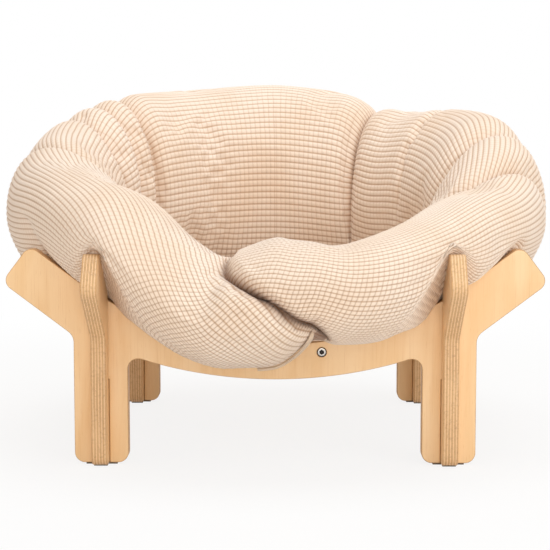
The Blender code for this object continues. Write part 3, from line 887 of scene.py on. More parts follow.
@dataclass
class PlywoodFrame:
    """The four slotted panels and the seat board between them."""

    shape: PanelShape = PanelShape()
    bolt_spacing: float = 0.090
    board_width: float = 0.200
    board_corner: float = 0.008
    board_gap: float = 0.0003
    board_ease: float = 0.0008

    @property
    def board_level(self) -> float:
        """Height of the board's middle plane, and of the screws."""
        return self.shape.cradle_low - self.shape.ply / 2

    def sheets(self) -> list[Sheet]:
        """The panels, each with its outer face away from the middle, and the board on its back."""
        x, y, z = np.eye(3)
        ply, centre = self.shape.ply, self.shape.leg_centre
        bores = tuple(Bore(side * self.bolt_spacing / 2, self.board_level) for side in (-1, 1))
        crossed, crossing = self.shape.outline(True), self.shape.outline(False)
        half_width, half_length = self.board_width / 2, centre - ply / 2 - self.board_gap
        board = rounded([(a * half_width, b * half_length, self.board_corner)
                         for a, b in ((-1, -1), (1, -1), (1, 1), (-1, 1))])
        return [
            Sheet("front_panel_ply", crossed, ply, -centre * y, x, z, -y, bores, grain_shift=0.31),
            Sheet("rear_panel_ply", crossed, ply, centre * y, x, z, y, bores, grain_shift=1.74),
            Sheet("left_panel_ply", crossing, ply, -centre * x, y, z, -x, grain_shift=2.93),
            Sheet("right_panel_ply", crossing, ply, centre * x, y, z, x, grain_shift=4.12),
            Sheet("seat_board_ply", board, ply, self.board_level * z, x, y, z,
                  ease=self.board_ease, grain_shift=5.5),
        ]

    def build(self, finish: PlywoodFinish) -> None:
        """Make all five pieces, in the place of their solids.

        Args:
            finish: Look of the plywood.
        """
        material = finish.material()
        for sheet in self.sheets():
            piece = sheet.build(material)
            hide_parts(sheet.name.removesuffix("_ply"))
            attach(piece, Body.FRAME.value)


# Fasteners and feet


@dataclass
class Hardware:
    """Socket head screws, barrel nuts and felt pads, where the solids are."""

    head_radius: float = 0.00425
    head_height: float = 0.005
    head_round: float = 0.0007
    shank_radius: float = 0.0025
    shank_length: float = 0.034
    tip_radius: float = 0.0018
    socket_flats: float = 0.004
    socket_depth: float = 0.0025
    socket_cone: float = 0.0006
    socket_rim: float = 0.0030
    thread_pitch: float = 0.0008
    thread_depth: float = 0.0003
    steps: int = 72

    def profile(self) -> tuple[Array, Array]:
        """The screw's skin: radii, steps by n, and depths under the face of its head.

        Inside the socket the radius is the hexagon's: half its flats over the cosine of the turn,
        folded into 60 degrees.
        """
        sixth = math.pi / 6
        folded = (full_turn(self.steps) + sixth) % (2 * sixth) - sixth
        hexagon = self.socket_flats / 2 / np.cos(folded)
        arc = np.linspace(0.0, math.pi / 2, 5)
        threads = np.arange(0.0, self.shank_length - 0.001, self.thread_pitch / 2)
        crest = self.shank_radius - self.thread_depth * (np.arange(len(threads)) % 2)
        end = self.head_height + self.shank_length
        round_radii = np.concatenate((
            (self.socket_rim,), self.head_radius - self.head_round * (1 - np.sin(arc)),
            (self.head_radius,), crest, (self.tip_radius, 0.00002)))
        depths = np.concatenate((
            (self.socket_depth + self.socket_cone, self.socket_depth, 0.0002, 0.0, 0.0),
            self.head_round * (1 - np.cos(arc)), (self.head_height,), self.head_height + threads,
            (end, end)))
        socket = hexagon[:, None] * np.array((0.02, 1.0, 1.0, 1.06))
        return np.hstack((socket, np.tile(round_radii, (self.steps, 1)))), depths

    def screw(self, node: str, material: Material) -> Object:
        """Turn a screw along the Y axis of its solid's box.

        A point is the axis plus radius times (cos, sin) of the turn.

        Args:
            node: Name of the solid.
            material: Steel finish.

        Returns:
            The finished screw.
        """
        low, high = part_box(node)
        outward = -1.0 if high.y < 0.0 else 1.0
        face = low.y if outward < 0.0 else high.y
        turn = full_turn(self.steps)[:, None]
        radius, depth = self.profile()
        points = np.empty((*radius.shape, 3))
        points[..., 0] = (low.x + high.x) / 2 + radius * np.cos(turn)
        points[..., 1] = face - outward * depth
        points[..., 2] = (low.z + high.z) / 2 + radius * np.sin(turn)
        skin = Skin()
        # The socket's first three strips are marked, so that the finish paints painted shade in the
        # hollow
        inside = np.arange(radius.shape[1]) < 3
        index = skin.add_grid(points, grid_uv(*radius.shape), (True, False), inside)
        for ring in (index[:, 0], index[:, -1]):
            skin.cap(ring)
        return skin.build(node + "_turned", material, smooth_angle=40.0, merge=1e-7)

    def build(self, nodes: dict[str, Object]) -> None:
        """Make the screws, and finish the nuts and the pads.

        Args:
            nodes: The frame's solids by name.
        """
        steel = MetalFinish("bright_steel_finish", (0.42, 0.41, 0.40), (0.32, 0.31, 0.30), 0.24)
        zinc = MetalFinish("zinc_plate_finish", (0.62, 0.63, 0.62), (0.48, 0.47, 0.43), 0.40)
        steel, zinc, felt = steel.material(), zinc.material(), FeltFinish().material()
        for name, node in nodes.items():
            if name.startswith("bolt_"):
                piece = self.screw(name, steel)
                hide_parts(name)
                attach(piece, Body.FRAME.value)
            elif name.startswith("barrel_nut_"):
                node.material_slots[0].material = zinc
            elif name.startswith("foot_pad_"):
                node.material_slots[0].material = felt


# Cushion


@dataclass(frozen=True)
class Filling:
    """Cloth simulation that blows a closed skin up against what holds it."""

    pressure: float = 4.0
    slack: float = 0.015
    inset: float = 0.0005
    cap: float = 0.005
    frames: int = 20
    quality: int = 5
    levels: int = 10

    def swell(self, piece: Object, held: Array) -> Array:
        """Simulate a piece, which starts drawn in along its normals where it isn't held.

        Args:
            piece: Object whose mesh is closed.
            held: How firmly each vertex is held, from 0 to 1.

        Returns:
            How far each vertex has moved from the mesh's own shape, n by 3, up to the cap.
        """
        mesh = piece.data
        start, normal, made = (np.empty(3 * len(mesh.vertices)) for _ in range(3))
        mesh.vertices.foreach_get("co", start)
        mesh.vertex_normals.foreach_get("vector", normal)
        mesh.vertices.foreach_set("co", start - normal * self.inset * np.repeat(1.0 - held, 3))
        group = piece.vertex_groups.new(name="held")
        level = np.round(held * self.levels).astype(int)
        for step in range(1, self.levels + 1):
            group.add(np.flatnonzero(level == step).tolist(), step / self.levels, "REPLACE")
        cloth = piece.modifiers.new("filling", "CLOTH")
        cloth.settings.quality = self.quality
        cloth.settings.use_pressure = True
        cloth.settings.uniform_pressure_force = self.pressure
        cloth.settings.effector_weights.gravity = 0.0
        cloth.settings.shrink_min = -self.slack
        cloth.settings.vertex_group_mass = group.name
        cloth.point_cache.frame_start = 1
        cloth.point_cache.frame_end = self.frames
        for frame in range(1, self.frames + 1):
            bpy.context.scene.frame_set(frame)
        shaped = piece.evaluated_get(bpy.context.evaluated_depsgraph_get())
        shaped.data.vertices.foreach_get("co", made)
        piece.modifiers.remove(cloth)
        piece.vertex_groups.remove(group)
        bpy.context.scene.frame_set(1)
        moved = (made - start).reshape(-1, 3)
        length = np.linalg.norm(moved, axis=1)
        out = np.sum(moved * normal.reshape(-1, 3), 1)
        LOG.info("%s: moved %.1f mm on average and %.1f at most, %.1f outwards", piece.name,
                 length.mean() * 1e3, length.max() * 1e3, out.mean() * 1e3)
        return moved * np.minimum(self.cap / np.maximum(length, 1e-9), 1.0)[:, None]


@dataclass(frozen=True)
class Crease:
    """Fold across the bolster, with its angles in degrees.

    At an angle round the tube the fold lies at middle + lean times the cosine + twist times the
    sine. It reaches width before it and beyond after it, it is deepest at around, and it fades over
    a spread from there. Its far side, counted with the angle, is set back by a step.
    """

    middle: float
    lean: float
    twist: float
    depth: float
    width: float
    around: float = 90.0
    spread: float = 110.0
    step: float = 0.0
    beyond: float = 10.0


@dataclass
class Bolster:
    """Ring cushion that lies on the panels' curved edges."""

    shape: PanelShape = PanelShape()
    radius: float = 0.222
    panel_bite: float = 0.003
    bite_width: float = 0.003
    drape_slope: float = 1.7
    rim_lift: float = 0.005
    drape_rounding: float = 0.005
    corner_hold: float = 0.85
    board_half_width: float = 0.100
    board_top: float = 0.0003
    columns: int = 520
    ribs: int = 85
    rows_per_rib: int = 6
    rib_height: float = 0.0012
    rib_middle: float = 0.6
    rib_power: float = 0.7
    stitches: int = 376
    fold: float = 0.5
    turn_left: float = 58.0
    turn_right: float = 15.0
    pivot: float = 0.45
    stitch_pitch: float = 0.88
    cage_columns: int = 320
    cage_rows: int = 128
    cloth_step: int = 2
    seam_angle: float = math.radians(-125.0)
    free_lift: tuple[float, float] = (0.004, 0.016)
    held_pinch: tuple[float, float] = (0.005, 0.014)
    deep_pinch: tuple[float, float] = (0.012, 0.028)
    # Painted shade in deep folds and the slit, and painted shadow in the gap beyond the hem
    deep_shade: float = 0.42
    hem_shade: float = 0.9
    slit_width: float = 0.85
    # Spans of ramps, in degrees round the ring
    left_span: tuple[float, float] = (-60.0, -10.0)
    right_span: tuple[float, float] = (4.0, 42.0)
    hem_start: tuple[float, float] = (0.3, 1.1)
    hem_end: tuple[float, float] = (0.2, 0.9)
    # Spans of ramps, in degrees round the tube
    step_span: tuple[float, float] = (-50.0, 10.0)
    slit_rise: tuple[float, float] = (-85.0, -35.0)
    slit_fall: tuple[float, float] = (60.0, 120.0)
    hem_rise: tuple[float, float] = (-84.0, -78.0)
    hem_fall: tuple[float, float] = (-52.0, -46.0)
    # The hem's line, as angles round the tube and round the ring
    hem_turns: tuple[float, ...] = (-80.0, -77.0, -71.0, -61.5, -52.5, -44.0)
    hem_columns: tuple[float, ...] = (-10.0, -7.5, -5.8, -4.0, -2.3, -0.8)
    filling: Filling = Filling()
    # Angle from the front towards the right, change of radius, top, underside, half of the width,
    # lift of the outer rim and taper of the outer underside: heights over the lowest point of the
    # panels' top edges
    sections: tuple[tuple[float, ...], ...] = (
        (0, -0.002, 0.105, -0.012, 0.064, 0.000, 0.0),
        (4, -0.001, 0.104, -0.003, 0.064, 0.000, 0.0),
        (8, -0.001, 0.103, 0.009, 0.065, 0.000, 0.0),
        (15, -0.001, 0.101, 0.007, 0.066, 0.002, 0.0),
        (24, -0.001, 0.107, 0.007, 0.066, 0.008, 0.0),
        (35, -0.002, 0.120, 0.015, 0.066, 0.014, 0.0),
        (46, -0.002, 0.136, 0.028, 0.066, 0.018, 0.1),
        (60, 0.000, 0.154, 0.028, 0.065, 0.018, 0.4),
        (90, -0.002, 0.213, 0.012, 0.062, 0.008, 0.6),
        (120, -0.002, 0.231, 0.016, 0.065, 0.000, 0.3),
        (137, -0.001, 0.228, 0.018, 0.067, 0.000, 0.2),
        (150, 0.000, 0.241, 0.020, 0.068, 0.000, 0.1),
        (180, -0.005, 0.260, 0.022, 0.068, 0.000, 0.1),
        (210, -0.001, 0.253, 0.021, 0.068, 0.000, 0.1),
        (232, -0.001, 0.245, 0.018, 0.067, 0.000, 0.2),
        (248, -0.002, 0.231, 0.016, 0.064, 0.000, 0.3),
        (270, -0.003, 0.206, 0.012, 0.062, 0.008, 0.6),
        (300, -0.002, 0.171, 0.030, 0.064, 0.018, 0.4),
        (314, -0.001, 0.155, 0.034, 0.067, 0.018, 0.1),
        (325, -0.001, 0.142, 0.019, 0.068, 0.014, 0.0),
        (337, -0.002, 0.104, -0.004, 0.067, 0.008, 0.0),
        (347, -0.003, 0.083, -0.014, 0.066, 0.000, 0.0),
        (352, -0.003, 0.093, -0.014, 0.066, 0.000, 0.0),
    )
    creases: tuple[Crease, ...] = (
        Crease(-125, -2, 0, 0.025, 7.0, 125.0, 90.0, 0.0, 5.5),
        Crease(-115, -2, 0, 0.020, 5.0, 120.0, 85.0, 0.0, 5.0),
        Crease(-104, -5, 0, 0.027, 6.0, 125.0, 90.0, 0.0, 8.0),
        Crease(-75, -13, 2, 0.030, 9.0, 90.0, 130.0, -0.003, 8.0),
        Crease(0.3, 0, -12.1, 0.032, 3.6, -10.0, 88.0, 0.005, 3.2),
        Crease(65, 15, -2, 0.026, 8.0, 90.0, 120.0),
        Crease(86, 5, 0, 0.024, 8.0, 110.0, 105.0),
        Crease(122, 3, 0, 0.005, 4.0, 130.0, 60.0, 0.0, 4.0),
        Crease(149, -1, 0, 0.027, 11.0, 110.0, 100.0),
    )

    def section(self, column: int, angle: Array) -> Array:
        """Smooth periodic curve through one column of the sections (cubic Hermite).

        Args:
            column: Which value of a section.
            angle: Angle round the ring, in radians.

        Returns:
            The value at each angle.
        """
        stations = np.array([row[0] for row in self.sections], float)
        values = np.array([row[column] for row in self.sections], float)
        count = len(stations)
        turn = np.degrees(angle) % 360.0
        k = (np.searchsorted(stations, turn, side="right") - 1) % count
        before, after, beyond = (k - 1) % count, (k + 1) % count, (k + 2) % count
        length = (stations[after] - stations[k]) % 360.0
        t = ((turn - stations[k]) % 360.0) / length
        here = (values[after] - values[before]) / ((stations[after] - stations[before]) % 360.0)
        there = (values[beyond] - values[k]) / ((stations[beyond] - stations[k]) % 360.0)
        square, cube = t ** 2, t ** 3
        return ((2 * cube - 3 * square + 1) * values[k] + (cube - 2 * square + t) * length * here
                + (3 * square - 2 * cube) * values[after] + (cube - square) * length * there)

    def angle(self, column: Array, around: Array) -> Array:
        """Angle round the ring of a column, whose line follows the folds beside it.

        Args:
            column: Angle round the ring at the middle of the tube, in radians.
            around: Angle round the tube, in radians.

        Returns:
            Column plus the lean times the cosine plus the twist times the sine.
        """
        middles = [crease.middle for crease in self.creases]
        turn = np.degrees(column)
        lean = np.interp(turn, middles, [crease.lean for crease in self.creases], period=360.0)
        twist = np.interp(turn, middles, [crease.twist for crease in self.creases], period=360.0)
        return column + np.radians(lean) * np.cos(around) + np.radians(twist) * np.sin(around)

    def pinch(self, column: Array, around: Array) -> Array:
        """How far the folds draw the fabric in.

        The profile across a fold is that of two pillows that meet: the depth times one less the
        root of one less the square of (1 - t), where t is the distance over the width.

        Args:
            column: Angle round the ring at the middle of the tube, in radians.
            around: Angle round the tube, in radians.

        Returns:
            Depth of all folds.
        """
        depth = np.zeros(np.broadcast(column, around).shape)
        for crease in self.creases:
            away = wrapped(np.degrees(column) - crease.middle)
            reach = np.where(away > 0.0, crease.beyond, crease.width)
            t = np.clip(np.abs(away) / reach, 0.0, 1.0)
            pillow = 1.0 - np.sqrt(1.0 - np.square(1.0 - t))
            turn = wrapped(np.degrees(around) - crease.around)
            fade = np.exp(-np.square(turn / crease.spread) ** 2)
            side = np.where(away > 0.0, np.exp(-np.square(away / 12.0)),
                            -0.5 * np.exp(-np.square((away + 8.0) / 6.0)))
            side = side * smoothstep(*self.step_span, wrapped(np.degrees(around)))
            depth += (crease.depth * pillow + crease.step * side) * fade
        return depth

    def drape(self, x: Array, y: Array) -> Array:
        """Lowest level of the fabric over a point, where the panels and the board hold it up.

        Beside a panel the fabric falls steeply, and hardly at all in the corner between two arms,
        where it spans from one to the other.

        Args:
            x: Distance to the right.
            y: Distance to the back.

        Returns:
            Height over the lowest point of the panels' top edges.
        """
        reach = self.shape.arm_tip()[0][0]
        centre = self.shape.leg_centre
        levels = []
        for along, away in ((np.abs(x), np.abs(y)), (np.abs(y), np.abs(x))):
            edge = self.shape.cradle_height(np.minimum(along, reach))
            beside = np.maximum(np.abs(away - centre) - self.shape.ply / 2, 0.0)
            corner = (smoothstep(centre - 0.012, centre + 0.006, along)
                      * smoothstep(centre - 0.006, centre + 0.006, away))
            fall = (self.panel_bite * smoothstep(0.0, self.bite_width, beside)
                    + self.drape_slope * beside)
            levels.append(edge - self.shape.cradle_low - fall * (1.0 - self.corner_hold * corner))
        beyond = np.maximum(np.abs(x) - self.board_half_width, np.abs(y) - centre)
        levels.append(self.board_top - self.drape_slope * np.maximum(beyond, 0.0))
        return np.maximum.reduce(levels)

    def tube(self, angle: Array, around: Array, pinch: Array | float = 0.0) -> Array:
        """Point of the plain tube: at each angle an ellipse, drawn in by the folds.

        The taper takes its share times the square of the sine off the outer underside. The folds
        draw the underside inwards more than up.

        Args:
            angle: Angle round the ring, in radians.
            around: Angle round the tube from its outer side over its top, in radians.
            pinch: How far the fabric is drawn in.

        Returns:
            Array whose last axis is (distance from the ring's axis, height).
        """
        top, under, half_width = (self.section(value, angle) for value in (2, 3, 4))
        below = np.where(np.cos(around) > 0.0, np.minimum(np.sin(around), 0.0), 0.0)
        taper = 1.0 - self.section(6, angle) * np.square(below)
        r = self.radius + self.section(1, angle) + (half_width - pinch) * np.cos(around) * taper
        pull = pinch * (0.2 + 0.8 * smoothstep(-0.4, 0.4, np.sin(around)))
        z = (top + under) / 2 + ((top - under) / 2 - pull) * np.sin(around)
        return np.stack((r, z + self.section(5, angle) * np.cos(around)), -1)

    def surface(self, column: Array, around: Array) -> Array:
        """Point of the cushion at a column of the ring and an angle round its section.

        Its level is the larger of the tube's own and that of the panels beneath, rounded where
        they meet: half of their sum plus the root of their difference squared plus the rounding
        squared.

        Args:
            column: Angle round the ring at the middle of the tube, in radians.
            around: Angle round the tube from its outer side over its top, in radians.

        Returns:
            Array whose last axis is (x, y, z).
        """
        angle = self.angle(column, around)
        r, z = np.moveaxis(self.tube(angle, around, self.pinch(column, around)), -1, 0)
        x, y = r * np.sin(angle), -r * np.cos(angle)
        held = self.drape(x, y) + self.rim_lift * (1.0 + np.sin(around))
        z = (z + held + np.sqrt(np.square(z - held) + self.drape_rounding ** 2)) / 2
        return np.stack((x, y, z + self.shape.cradle_low), -1)

    def underside(self, x: Array, y: Array) -> Array:
        """Height of the plain tube's lower surface over a point, or a large value inside the ring.

        Args:
            x: Distance to the right.
            y: Distance to the back.

        Returns:
            World height of half an ellipse over its share of the tube's width.
        """
        angle, r = np.arctan2(x, -y), np.hypot(x, y)
        top, under, half_width = (self.section(value, angle) for value in (2, 3, 4))
        inside = r - self.radius - self.section(1, angle)
        share = np.clip(inside / half_width, -1.0, 1.0)
        low = (top + under) / 2 - (top - under) / 2 * np.sqrt(1.0 - np.square(share))
        low = low + self.section(5, angle) * share + self.shape.cradle_low
        return np.where(inside < -half_width, 1.0, low)

    def pattern(self, column: Array, angle: Array, share: Array) -> Array:
        """Count of stitches and ribs at each point, which makes the fabric's pattern.

        Away from the front fold the ribs run along the ring. Beside it the pattern is turned by an
        angle psi, so that the left end's ribs run down to its hem and the right end's rise to its
        tip. With A and B the counts along the ring and round the tube, the stitches are the sum of
        cos psi dA less B sin psi, and the ribs are the sum of sin psi dA plus B cos psi. Both sums
        are stretched to whole numbers round the ring, so that the pattern meets itself.

        Args:
            column: Angle round the ring at the middle of the tube, in radians.
            angle: Angle round the ring of the point itself.
            share: Share of the way round the tube.

        Returns:
            Array whose last axis is (stitches over their number, ribs over their number).
        """
        dense = np.linspace(-math.pi, math.pi, 2881)
        turn = np.degrees(dense) - self.fold
        left = self.turn_left * smoothstep(*self.left_span, turn)
        right = self.turn_right * (1.0 - smoothstep(*self.right_span, turn))
        psi = np.radians(np.where(turn < 0.0, left, right))
        per_radian = self.stitches / (2 * math.pi)
        step = per_radian * (dense[1] - dense[0])
        along, fall = np.cumsum(np.cos(psi)) * step, np.cumsum(np.sin(psi)) * step
        along = np.interp(column, dense, along * np.round(along[-1]) / along[-1])
        whole = np.round(self.stitch_pitch * fall[-1]) / self.stitch_pitch
        fall = np.interp(column, dense, fall * whole / fall[-1])
        psi = np.interp(column, dense, psi)
        own = (angle - column) * per_radian
        count = (share - self.pivot) * self.ribs
        stitch = along + own * np.cos(psi) - count * np.sin(psi) / self.stitch_pitch
        rib = self.stitch_pitch * (fall + own * np.sin(psi)) + count * np.cos(psi)
        return np.stack((stitch / self.stitches, rib / self.ribs), -1)

    def fold_shade(self, column: Array, around: Array) -> Array:
        """How much painted shade lies in the folds and in the slit at the front, and painted shadow
        beyond the hem.

        Args:
            column: Angle round the ring at the middle of the tube, in radians.
            around: Angle round the tube, in radians.

        Returns:
            Share from 0 to 1.
        """
        away = np.degrees(column) - self.fold
        turn = wrapped(np.degrees(around))
        slit = np.exp(-np.square(away / self.slit_width)) * smoothstep(*self.slit_rise, turn)
        slit = slit * (1.0 - smoothstep(*self.slit_fall, turn))
        hem = np.interp(turn, self.hem_turns, self.hem_columns) - self.fold
        beyond = smoothstep(*self.hem_start, away - hem) * (1.0 - smoothstep(*self.hem_end, away))
        beyond = self.hem_shade * beyond * smoothstep(*self.hem_rise, turn)
        beyond = beyond * (1.0 - smoothstep(*self.hem_fall, turn))
        deep = self.deep_shade * smoothstep(*self.deep_pinch, self.pinch(column, around))
        return np.clip(np.maximum(np.maximum(slit, beyond), deep), 0.0, 1.0)

    def grid_angles(self) -> tuple[Array, Array]:
        """Columns and angles round the tube of the coarse grid.

        The columns are closer together beside the folds. The rows lie at equal lengths round the
        plain tube, so that the ribs stay even where the panels press on it.

        Returns:
            Columns, as an array of one row, and angles round the tube, columns by rows.
        """
        dense = np.linspace(-math.pi, math.pi, 1441)
        weight = np.ones_like(dense)
        for crease in self.creases:
            away = wrapped(np.degrees(dense) - crease.middle)
            weight += 120.0 * crease.depth * np.exp(-np.square(away / 4.0))
        run = np.concatenate(((0.0,), np.cumsum((weight[1:] + weight[:-1]) / 2)))
        column = np.interp(np.arange(self.cage_columns) / self.cage_columns, run / run[-1], dense)
        turn = self.seam_angle + np.linspace(0.0, 2 * math.pi, 721)
        ring = self.tube(column[:, None], turn[None])
        length = np.cumsum(np.linalg.norm(np.diff(ring, axis=1), axis=-1), 1)
        share = np.concatenate((np.zeros((len(column), 1)), length), 1) / length[:, -1:]
        offset = 2.0 * np.arange(len(column))[:, None]
        wanted = np.arange(self.cage_rows) / self.cage_rows + offset
        around = np.interp(wanted.ravel(), (share + offset).ravel(), np.tile(turn, len(column)))
        return column, around.reshape(wanted.shape)

    def swell(self, cage: Array, column: Array, around: Array) -> Array:
        """Movement of the coarse grid in the cloth simulation, held in the folds and underneath.

        Args:
            cage: Coarse grid, columns by rows by 3.
            column: Angle round the ring of each column.
            around: Angles round the tube, columns by rows.

        Returns:
            Movement of every second point each way, columns by rows by 3.
        """
        pick = (slice(None, None, self.cloth_step),) * 2
        points = cage[pick]
        rest = self.drape(points[..., 0], points[..., 1]) + self.shape.cradle_low
        free = smoothstep(*self.free_lift, points[..., 2] - rest)
        fold = smoothstep(*self.held_pinch, self.pinch(column[:, None], around)[pick])
        skin = Skin()
        skin.add_grid(points, grid_uv(*points.shape[:2]), (True, True))
        piece = skin.build("bolster_filling", bpy.data.materials.new("plain"))
        held = np.maximum(1.0 - free, fold)
        moved = self.filling.swell(piece, held.ravel()).reshape(points.shape)
        bpy.data.objects.remove(piece)
        return moved * (1.0 - held)[..., None]

    def refine(self, cage: Array) -> Array:
        """Read a coarse grid on the fine one, columns by rows by 3, as a cubic both ways."""
        wide = cubic_rows(cage, np.arange(self.columns) * len(cage) / self.columns)
        rows = self.ribs * self.rows_per_rib
        tall = cubic_rows(np.swapaxes(wide, 0, 1), np.arange(rows) * cage.shape[1] / rows)
        return np.swapaxes(tall, 0, 1)

    def build(self, finish: CorduroyFinish) -> Object:
        """Make the bolster, with its ribs in the mesh.

        A rib's height is the absolute sine of the rib count times pi, to the power 0.7, so that
        ribs are round and the grooves between them sharp.

        Args:
            finish: Look of the fabric.

        Returns:
            The finished piece.
        """
        column, around = self.grid_angles()
        cage = self.surface(column[:, None], around)
        points = self.refine(cage)
        points = points + self.refine(self.swell(cage, column, around))
        rows = points.shape[1]
        normal = unit(np.cross(np.roll(points, -1, 0) - np.roll(points, 1, 0),
                               np.roll(points, -1, 1) - np.roll(points, 1, 1)))
        share = grid_uv(self.columns, rows)
        place = share[:, 0, 0] * self.cage_columns
        closed = np.concatenate((around, around[:1]))
        turns = np.concatenate((closed, closed[:, :1] + 2 * math.pi), 1)
        turns = straight_rows(straight_rows(turns, place).T, share[0, :, 1] * self.cage_rows).T
        line = np.interp(place, np.arange(self.cage_columns + 1), np.append(column, math.pi))
        uv = self.pattern(line[:, None], self.angle(line[:, None], turns), share[..., 1])
        rib = np.abs(np.sin(math.pi * self.ribs * uv[:-1, :-1, 1])) ** self.rib_power
        points = points + normal * (self.rib_height * (rib - self.rib_middle))[..., None]
        ring = np.hypot(points[..., 0], points[..., 1])
        # waffle sets the stitches' relief and their painted shade: more low down and on the inner
        # side, less at the back
        back = smoothstep(-0.06, 0.10, points[..., 1])
        inner = 1.0 - smoothstep(0.17, 0.23, ring)
        low = 1.0 - smoothstep(0.16, 0.22, points[..., 2])
        waffle = np.clip(0.30 - 0.16 * back + 0.25 * inner + 0.40 * low, 0.0, 1.0)
        skin = Skin()
        # fold carries the painted shade of the folds and slit, and the painted shadow beyond the hem
        skin.add_grid(points, uv, (True, True), fine=smoothstep(0.175, 0.215, ring), waffle=waffle,
                      fold=self.fold_shade(line[:-1, None], turns[:-1, :-1]))
        piece = skin.build("bolster_fabric", finish.material())
        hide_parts("bolster_ring")
        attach(piece, Body.CUSHION.value)
        return piece


def straight_rows(grid: Array, place: Array) -> Array:
    """Read a grid that doesn't wrap at fractional places along its first axis, in straight steps.

    Args:
        grid: Array of two axes.
        place: Fractional places.

    Returns:
        The grid at those places.
    """
    base = np.minimum(np.floor(place).astype(int), len(grid) - 2)
    t = (place - base)[:, None]
    return grid[base] * (1.0 - t) + grid[base + 1] * t


def cubic_rows(grid: Array, place: Array) -> Array:
    """Read a periodic grid at fractional places along its first axis, as a Catmull-Rom cubic.

    Args:
        grid: Array whose first axis wraps.
        place: Fractional places.

    Returns:
        The grid at those places.
    """
    base = np.floor(place).astype(int)
    t = (place - base).reshape((-1,) + (1,) * (grid.ndim - 1))
    weights = ((-t + 2 * t ** 2 - t ** 3) / 2, (2 - 5 * t ** 2 + 3 * t ** 3) / 2,
               (t + 4 * t ** 2 - 3 * t ** 3) / 2, (t ** 3 - t ** 2) / 2)
    return sum(weight * grid[(base + k) % len(grid)] for k, weight in zip((-1, 0, 1, 2), weights))


@dataclass
class SeatPad:
    """Crowned pad on the board, whose rim is tucked under the ring at the sides and the back."""

    bolster: Bolster
    radius: float = 0.158
    tuck: float = 0.034
    level: float = 0.1175
    crown: float = 0.1590
    edge: float = 0.1350
    back_rise: float = 0.010
    play: float = 0.002
    columns: int = 144
    rows: int = 56
    top_rows: float = 0.75
    filling: Filling = Filling(slack=0.02, inset=0.001, cap=0.004)

    def shape(self) -> tuple[Array, Array]:
        """Points of the pad, and how firmly each is held in the simulation.

        The rim's radius grows from the front to the back by the tuck. The upper side is the edge
        plus the crown's rise times the root of one less the cube of the share of the radius, and
        stays under the ring. The underside is flat with a rounded rim.

        Returns:
            Points, columns by rows by 3, and holds, columns by rows.
        """
        turn = full_turn(self.columns)[:, None]
        run = np.linspace(0.0, 1.0, self.rows)[None]
        top = run < self.top_rows
        share = np.where(top, np.sin(run / self.top_rows * math.pi / 2),
                         np.clip((1 - run) / (1 - self.top_rows), 0, 1))
        share = np.maximum(share, 0.002)
        rim = self.radius + self.tuck * (1.0 - np.cos(turn)) / 2
        x, y = rim * share * np.sin(turn), -rim * share * np.cos(turn)
        ceiling = self.bolster.underside(x, y) - self.play
        roof = self.bolster.underside(rim * np.sin(turn), -rim * np.cos(turn)) - self.play
        edge = np.minimum(self.edge + self.back_rise * (1.0 - np.cos(turn)) / 2, roof)
        upper = edge + (self.crown - edge) * np.sqrt(np.maximum(1 - share ** 3, 0.0))
        lower = edge - (edge - self.level) * np.sqrt(np.maximum(1 - share ** 8, 0.0))
        height = np.where(top, np.minimum(upper, ceiling), lower)
        held = np.where(top, smoothstep(0.80, 0.97, share), 1.0)
        return (np.stack(np.broadcast_arrays(x, y, height), -1),
                np.broadcast_to(held, height.shape))

    def build(self, finish: CorduroyFinish) -> Object:
        """Make the pad, swollen by its filling, with one subdivision.

        Args:
            finish: Look of the fabric.

        Returns:
            The finished piece.
        """
        points, held = self.shape()
        uv = np.concatenate((points, points[:1]))[..., :2] / (2 * self.radius) + 0.5
        uv = np.concatenate((uv, uv[:, -1:]), 1)
        look = {"fine": 1.0, "waffle": 1.0, "fold": 0.0}
        skin = Skin()
        index = skin.add_grid(points, uv, (True, False), **look, held=held)
        skin.cap(index[:, 0], 2 * self.radius, **look, held=0.0)
        skin.cap(index[:, -1], 2 * self.radius, **look, held=1.0)
        piece = skin.build("seat_pad_fabric", finish.material(), merge=1e-7)
        mesh = piece.data
        hold, start = np.empty(len(mesh.vertices)), np.empty(3 * len(mesh.vertices))
        mesh.attributes["held"].data.foreach_get("value", hold)
        mesh.vertices.foreach_get("co", start)
        moved = self.filling.swell(piece, hold) * (1.0 - hold)[:, None]
        mesh.vertices.foreach_set("co", start + moved.ravel())
        finer = piece.modifiers.new("finer", "SUBSURF")
        finer.levels = finer.render_levels = 1
        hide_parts("seat_pad")
        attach(piece, Body.CUSHION.value)
        return piece


